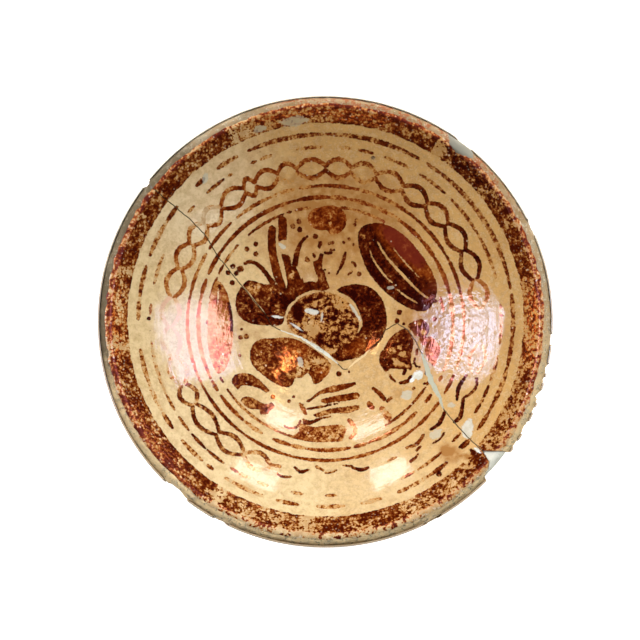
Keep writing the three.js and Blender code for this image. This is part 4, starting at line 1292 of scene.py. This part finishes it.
def front_glaze_material():
    """Cream tin glaze with the worn copper lustre painted on it, and filling where it has flaked off."""
    glaze = Surface("lustre_painted_glaze", ior=1.5)
    edge, wear, red, darkened = (glaze.number(name) for name in ("edge", "wear", "red", "darkened"))
    pale, film, loss, white = (glaze.number(name) for name in ("pale", "film", "loss", "white"))
    fine = glaze.noise(0.8)
    grain = glaze.noise(1.3)
    fleck = glaze.noise(2.4)
    patch = glaze.noise(3.8, 3)
    blotch = glaze.noise(9)
    cloud = glaze.noise(26, 3)
    streak = glaze.noise(1, 1, where=glaze.polar(1.6, 5))
    wheel = glaze.noise(1, 2, where=glaze.polar(30, 1.5))
    scuff = glaze.noise(1, 3, where=glaze.polar(7, 1.5))

    rim = glaze.smooth(glaze.radius, 84, 90)
    ragged = edge + (grain - 0.5) * 0.8 + (fine - 0.5) * 0.5 + (patch - 0.5) * rim * 1.6
    covered = 1 - glaze.smooth(ragged, -0.15, 0.2)
    dots = (1 - glaze.smooth(glaze.cells(1.7), 0.2, 0.5)) * glaze.smooth(blotch, 0.35, 0.6) * rim
    dashed = 0.5 + glaze.smooth(glaze.radius, 74, 78) * (1 - rim) * 1.2
    hazed = glaze.smooth(film, 0, 0.12)
    calm = 1 - hazed * 0.75
    # Where the east soft box is mirrored in the west wall the glaze is hazier, and lost lustre there is
    # painted pink as its sheen.
    haze_and_sheen = hazed * (1 - glaze.smooth(film, 0.12, 0.4))
    inner = 1 - glaze.smooth(edge, -2, -0.9)
    rubbed = (glaze.math("MAXIMUM", 0.4 + wear * (0.35 + inner * 0.9), 0.3) + rim * 0.3) * calm
    spots = (fleck - 0.5) * 2.6 + (grain - 0.5) * 2.4 + (fine - 0.5) * 1.5 + (patch - 0.5) * 1.4
    worn = wear * 1.05 - 0.04 - rim * 0.04 + spots * rubbed + dots * 0.6
    worn = worn + (blotch - 0.5) * 1.2 + (streak - 0.5) * dashed
    lost = glaze.smooth(worn, 0.5, 1.15)
    faint = glaze.smooth(worn, 0.1, 0.8)
    thin = glaze.smooth(worn, -0.3, 0.3)
    lustre = covered * (1 - lost)
    ghost = covered * lost * glaze.smooth(patch + cloud, 0.7, 1.2) * 0.6

    amber = glaze.smooth(glaze.x * 0.008 + glaze.y * 0.0045 + (cloud - 0.5) * 0.8, -0.6, 0.5)
    crazing = 1 - glaze.smooth(glaze.cells(2.6, "DISTANCE_TO_EDGE"), 0.0, 0.045)
    specks = glaze.smooth(glaze.noise(0.9, 1) + (patch - 0.5) * 0.3, 0.74, 0.82)
    # Scuffs in the filmed places, where the soft boxes are mirrored, roughen the glaze; the pink they are
    # given is painted sheen.
    scuffs_and_sheen = film * glaze.smooth(scuff + (grain - 0.5) * 0.5, 0.42, 0.6)
    pits = film * glaze.smooth(fleck + (grain - 0.5) * 0.9 + (fine - 0.5) * 0.6, 0.54, 0.7)
    lip = glaze.smooth(glaze.radius, 94.5, 97)
    flaked = glaze.smooth(glaze.radius + (patch - 0.5) * 6 + (grain - 0.5) * 5, 98.4, 99.6)
    flakes = glaze.mix(glaze.smooth(grain + (fine - 0.5), 0.42, 0.6), DARK_FLAKE, PALE_FLAKE)
    cream = glaze.coats(
        glaze.mix(amber, CREAM, AMBER),
        (pale, PALE_CREAM),
        (glaze.smooth(patch + (fleck - 0.5) * 0.8, 0.38, 0.7) * 0.4, DULL_CREAM),
        (glaze.smooth(grain + (cloud - 0.5) * 0.6, 0.48, 0.7) * 0.35, GRAINED_CREAM),
        (glaze.smooth(fine + (fleck - 0.5), 0.5, 0.7) * 0.25, BRIGHT_CREAM),
        (crazing * 0.12, CRAZING),
        (specks * 0.5, SPECK),
        (darkened * (patch * 1.5 - 0.15 + (fleck - 0.5) * 0.6), DARKENED_GLAZE),
        (ghost, glaze.mix(haze_and_sheen, GHOST, PAINTED_SHEEN_GHOST)),
        (scuffs_and_sheen * 0.3, PAINTED_SHEEN_PINK),
        (pits * 0.5, PIT),
        (flaked * 0.75, flakes))

    thick = glaze.mix(red, DARK_LUSTRE, RED_DARK_LUSTRE)
    usual = glaze.mix(red, LUSTRE, RED_LUSTRE)
    ruddy = glaze.smooth(red + (patch - 0.5) * 2.5 + (fleck - 0.5) * 1.5, 1.8, 3.0)
    # Painted glints: pale specks laid on the lustre, finer and more of them over the rim band.
    painted_glints = (1 - glaze.smooth(glaze.cells(4.5), 0.06, 0.13)) * glaze.smooth(fleck, 0.4, 0.55)
    painted_band_glints = (1 - glaze.smooth(glaze.cells(1.9), 0.14, 0.3)) * glaze.smooth(grain, 0.42, 0.56) * rim
    copper = glaze.coats(
        thick, (thin, usual), (faint, FAINT_LUSTRE), (ruddy * 0.8, RED_COAT),
        (painted_glints * 0.8 + painted_band_glints * 0.6, PAINTED_GLINT))

    crumbled = ((fleck - 0.5) * 1.3 + (grain - 0.5) * 0.8) * glaze.smooth(loss, 0, 0.1)
    gone = glaze.smooth(loss + crumbled, 0.04, 0.4) * (0.5 + white * 0.5)
    dusty = glaze.smooth(patch + (fine - 0.5) * 0.5, 0.4, 0.65) * 0.6
    filling = glaze.coats(glaze.mix(white, GREY_SPOT, WHITE_SPOT), (dusty, DUSTY_SPOT))
    rough = 0.06 + fine * 0.04 + (1 - lustre) * haze_and_sheen * 0.12 + scuffs_and_sheen * 0.1 + pits * 0.45
    glaze.set(
        base_color=glaze.mix(gone, glaze.mix(lustre, cream, copper), filling),
        metallic=lustre * (1 - gone) * (0.42 + rim * 0.15 - faint * 0.32),
        roughness=rough + gone * 0.4 + lip * (0.2 + grain * 0.3))
    relief = (wheel - 0.5) * (0.03 + film * 0.08) + (grain - 0.5) * (0.012 + rim * 0.1 + film * 0.03)
    relief = relief + (fine - 0.5) * (0.005 + film * 0.01) + (patch - 0.5) * (0.05 + film * 0.32)
    glaze.bump(relief - gone * 0.1)
    return glaze.material


def clay_material():
    """Bare earthenware: dark in the north-west, painted light in the south, flecked with lustre in the
    north.
    """
    clay = Surface("worn_clay", specular_ior_level=0.3)
    fine = clay.noise(0.8, 3, 0.65)
    flake = clay.noise(1.9, 3, 0.6)
    patch = clay.noise(5, 4, 0.6)
    cloud = clay.noise(19, 2)
    # Painted light: the clay is made paler towards the south, where the outer lip faces away from the
    # lamps in the north.
    south = clay.smooth(clay.y * -0.01 + (cloud - 0.5) * 0.8, -0.3, 0.5)
    north_west = clay.smooth(clay.y * 0.002 - clay.x * 0.01 + (cloud - 0.5) * 1.2, 0.3, 0.9)
    north_west = north_west * clay.smooth(clay.y * 0.01 + (patch - 0.5) * 0.5, -0.42, -0.12)
    bare = 1 - north_west * 0.7 - south * 0.4
    north = clay.smooth(clay.y * 0.01 + clay.x * 0.004 + (cloud - 0.5) * 0.4, 0.75, 1.0)
    painted = clay.smooth(patch * 0.6 + flake * 0.4 + (fine - 0.5) * 0.5, 0.46, 0.56)
    body = clay.coats(
        clay.mix(clay.smooth(cloud, 0.38, 0.62), CLAY, DARK_CLAY),
        (south, SOUTH_PAINTED_LIGHT_CLAY),
        (north_west * 0.95, DIRTY_CLAY),
        (clay.smooth(patch, 0.48, 0.64) * bare * 0.6, GREY_CLAY),
        (clay.smooth(flake, 0.52, 0.62) * bare * 0.7, FLAKED_CLAY),
        (clay.smooth(fine + (flake - 0.5), 0.54, 0.74) * 0.7, PITTED_CLAY),
        (north * painted * 0.85, LIP_LUSTRE))
    clay.set(base_color=body, roughness=0.72 + fine * 0.2)
    clay.bump((fine - 0.5) * 0.12 + (flake - 0.5) * 0.3 + (patch - 0.5) * 0.15)
    return clay.material


def back_glaze_material():
    """Cream glaze on the back, painted light at the northern lip, with a worn band and turned lines of
    lustre.
    """
    glaze = Surface("back_glaze", ior=1.5, coat_weight=0.4, coat_roughness=0.1)
    fine = glaze.noise(0.7)
    patch = glaze.noise(4, 3)
    cloud = glaze.noise(30, 3)
    streak = glaze.noise(1, 2, where=glaze.polar(9, 3))
    # Painted light: the back is made pale at the top of the northern lip, which the lamps leave dim.
    painted_light_north_lip = glaze.smooth(glaze.z + (patch - 0.5) * 2, 42, 45) * glaze.smooth(glaze.y, 0, 50)
    cream = glaze.coats(
        glaze.mix(glaze.smooth(cloud, 0.3, 0.7), BACK_CREAM, BACK_AMBER),
        (glaze.smooth(patch, 0.5, 0.8) * 0.3, BACK_DULL_CREAM),
        (painted_light_north_lip, NORTH_LIP_PAINTED_LIGHT_CREAM))
    painted = glaze.smooth(glaze.z, 38, 39) * (1 - glaze.smooth(glaze.z, 41, 43))
    for radius, width in BACK_LINES:
        gap = glaze.math("ABSOLUTE", glaze.radius - radius) - width / 2
        painted = glaze.math("MAXIMUM", painted, 1 - glaze.smooth(gap + (patch - 0.5) * 0.8, -0.2, 0.3))
    lustre = painted * (1 - glaze.smooth(streak + (patch - 0.5) * 0.8 + (fine - 0.5) * 0.5, 0.5, 0.62))
    copper = glaze.mix(patch, BACK_DARK_LUSTRE, BACK_LUSTRE)
    # Darker at the top of the back by the lip, except in the north.
    dark_lip_top = glaze.smooth(glaze.z + (patch - 0.5) * 5, 41.5, 45) * (1 - glaze.smooth(glaze.y, 0, 70)) * 0.7
    glaze.set(
        base_color=glaze.mix(dark_lip_top, glaze.mix(lustre, cream, copper), BACK_LIP_DARK),
        metallic=lustre * (1 - dark_lip_top) * 0.6, roughness=0.2 + fine * 0.14 + dark_lip_top * 0.4)
    glaze.bump((fine - 0.5) * 0.02 + (patch - 0.5) * 0.06)
    return glaze.material


def filling_material(name, colour, dark, yellowed):
    """Plaster rubbed into a gap, dirtier in the north and yellowed beside the crescent."""
    filling = Surface(name, specular_ior_level=0.3)
    fine = filling.noise(0.6, 3, 0.6)
    patch = filling.noise(3.5, 3)
    dirty = filling.smooth(patch + (fine - 0.5) * 0.6, 0.5, 0.8)
    beside_crescent = filling.smooth(filling.x, 7, 10) * (1 - filling.smooth(filling.x, 22, 26))
    north = filling.smooth(filling.y, 45, 70)
    body = filling.coats(colour, (dirty, dark), (north, NORTH_DIRT), (beside_crescent, yellowed))
    filling.set(base_color=body, roughness=0.7 + fine * 0.2)
    filling.bump((fine - 0.5) * 0.08 + (patch - 0.5) * 0.12)
    return filling.material


def glue_material():
    glue = Surface("aged_glue")
    patch = glue.noise(6, 3)
    glue.set(base_color=glue.mix(patch, DARK_GLUE, GLUE), roughness=0.3 + patch * 0.3)
    return glue.material


MATERIALS = {
    "clay": clay_material(),
    "front_glaze": front_glaze_material(),
    "back_glaze": back_glaze_material(),
    "glue": glue_material(),
    "white_filling": filling_material(
        "white_filling", WHITE_FILLING, DIRTY_WHITE_FILLING, YELLOWED_FILLING),
    "grey_filling": filling_material(
        "grey_filling", GREY_FILLING, DIRTY_GREY_FILLING, GREY_FILLING),
}
SLOTS = {
    "sherd": "clay", "front_glaze": "front_glaze", "back_glaze": "back_glaze", "base_glaze": "back_glaze",
    "glue_line": "glue", "centre_crack_fill": "white_filling", "lobe_crack_fill": "white_filling",
    "east_crack_fill": "grey_filling", "east_rim_fill": "white_filling",
    "north_east_rim_fill": "grey_filling",
}

for node, piece in pieces.items():
    slot = SLOTS[node.removeprefix("upper_").removeprefix("lower_")]
    if slot == "front_glaze":
        keep_numbers(piece, paint_front(vertices_of(piece)[:, :2]))
    piece.data.name = piece.name
    piece.data.materials.clear()
    piece.data.materials.append(MATERIALS[slot])
    piece.data.shade_smooth()
    piece.data.set_sharp_from_angle(angle=math.radians(SHARP_ANGLE))
    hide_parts(node)
    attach(piece, "root")


# Camera and plain studio light

def add_camera():
    data = bpy.data.cameras.new("camera")
    data.lens = CAMERA_LENS
    data.sensor_width = CAMERA_SENSOR
    data.shift_x = (IMAGE_SIZE / 2 - OPTICAL_CENTRE[0]) / IMAGE_SIZE
    data.shift_y = (OPTICAL_CENTRE[1] - IMAGE_SIZE / 2) / IMAGE_SIZE
    camera = bpy.data.objects.new("camera", data)
    tilt = math.radians(CAMERA_TILT)
    camera.location = (
        0,
        -CAMERA_DISTANCE * math.sin(tilt) * MM,
        (CAMERA_AIM_Z + CAMERA_DISTANCE * math.cos(tilt)) * MM,
    )
    camera.rotation_euler = (tilt, 0, 0)
    bpy.context.scene.collection.objects.link(camera)
    bpy.context.scene.camera = camera


def add_light(name, azimuth, zenith, width, height, radiance, colour, use):
    """A soft box facing the dish. Its radiance is what a mirror in the dish would show."""
    data = bpy.data.lights.new(name, "AREA")
    data.shape = "RECTANGLE"
    data.size = width * MM
    data.size_y = height * MM
    data.energy = radiance * math.pi * width * height * MM * MM
    data.color = colour
    light = bpy.data.objects.new(name, data)
    turn, lean = math.radians(azimuth), math.radians(zenith)
    towards = Vector((math.sin(lean) * math.cos(turn), math.sin(lean) * math.sin(turn), math.cos(lean)))
    light.location = (towards * LIGHT_DISTANCE + Vector((0, 0, CAMERA_AIM_Z))) * MM
    light.rotation_euler = towards.to_track_quat("Z", "Y").to_euler()
    light.visible_glossy = use != "fill"
    light.visible_diffuse = use != "mirrored"
    bpy.context.scene.collection.objects.link(light)


def add_floor():
    material = bpy.data.materials.new("white_floor")
    material.use_nodes = True
    surface = material.node_tree.nodes["Principled BSDF"]
    surface.inputs["Base Color"].default_value = (0.9, 0.9, 0.9, 1)
    surface.inputs["Emission Color"].default_value = (1, 1, 1, 1)
    surface.inputs["Emission Strength"].default_value = 1.0
    half = FLOOR_SIZE / 2
    corners = [(x, y, FLOOR_Z) for x, y in ((-half, -half), (half, -half), (half, half), (-half, half))]
    floor = make_object("floor", corners, [(0, 1, 2, 3)])
    floor.data.materials.append(material)


def add_world():
    world = bpy.data.worlds.new("studio")
    world.use_nodes = True
    background = world.node_tree.nodes["Background"]
    background.inputs["Color"].default_value = (1, 0.96, 0.9, 1)
    background.inputs["Strength"].default_value = WORLD_LIGHT
    bpy.context.scene.world = world


add_camera()
for light in LIGHTS:
    add_light(*light)
add_floor()
add_world()
bpy.context.scene.view_settings.view_transform = "Standard"
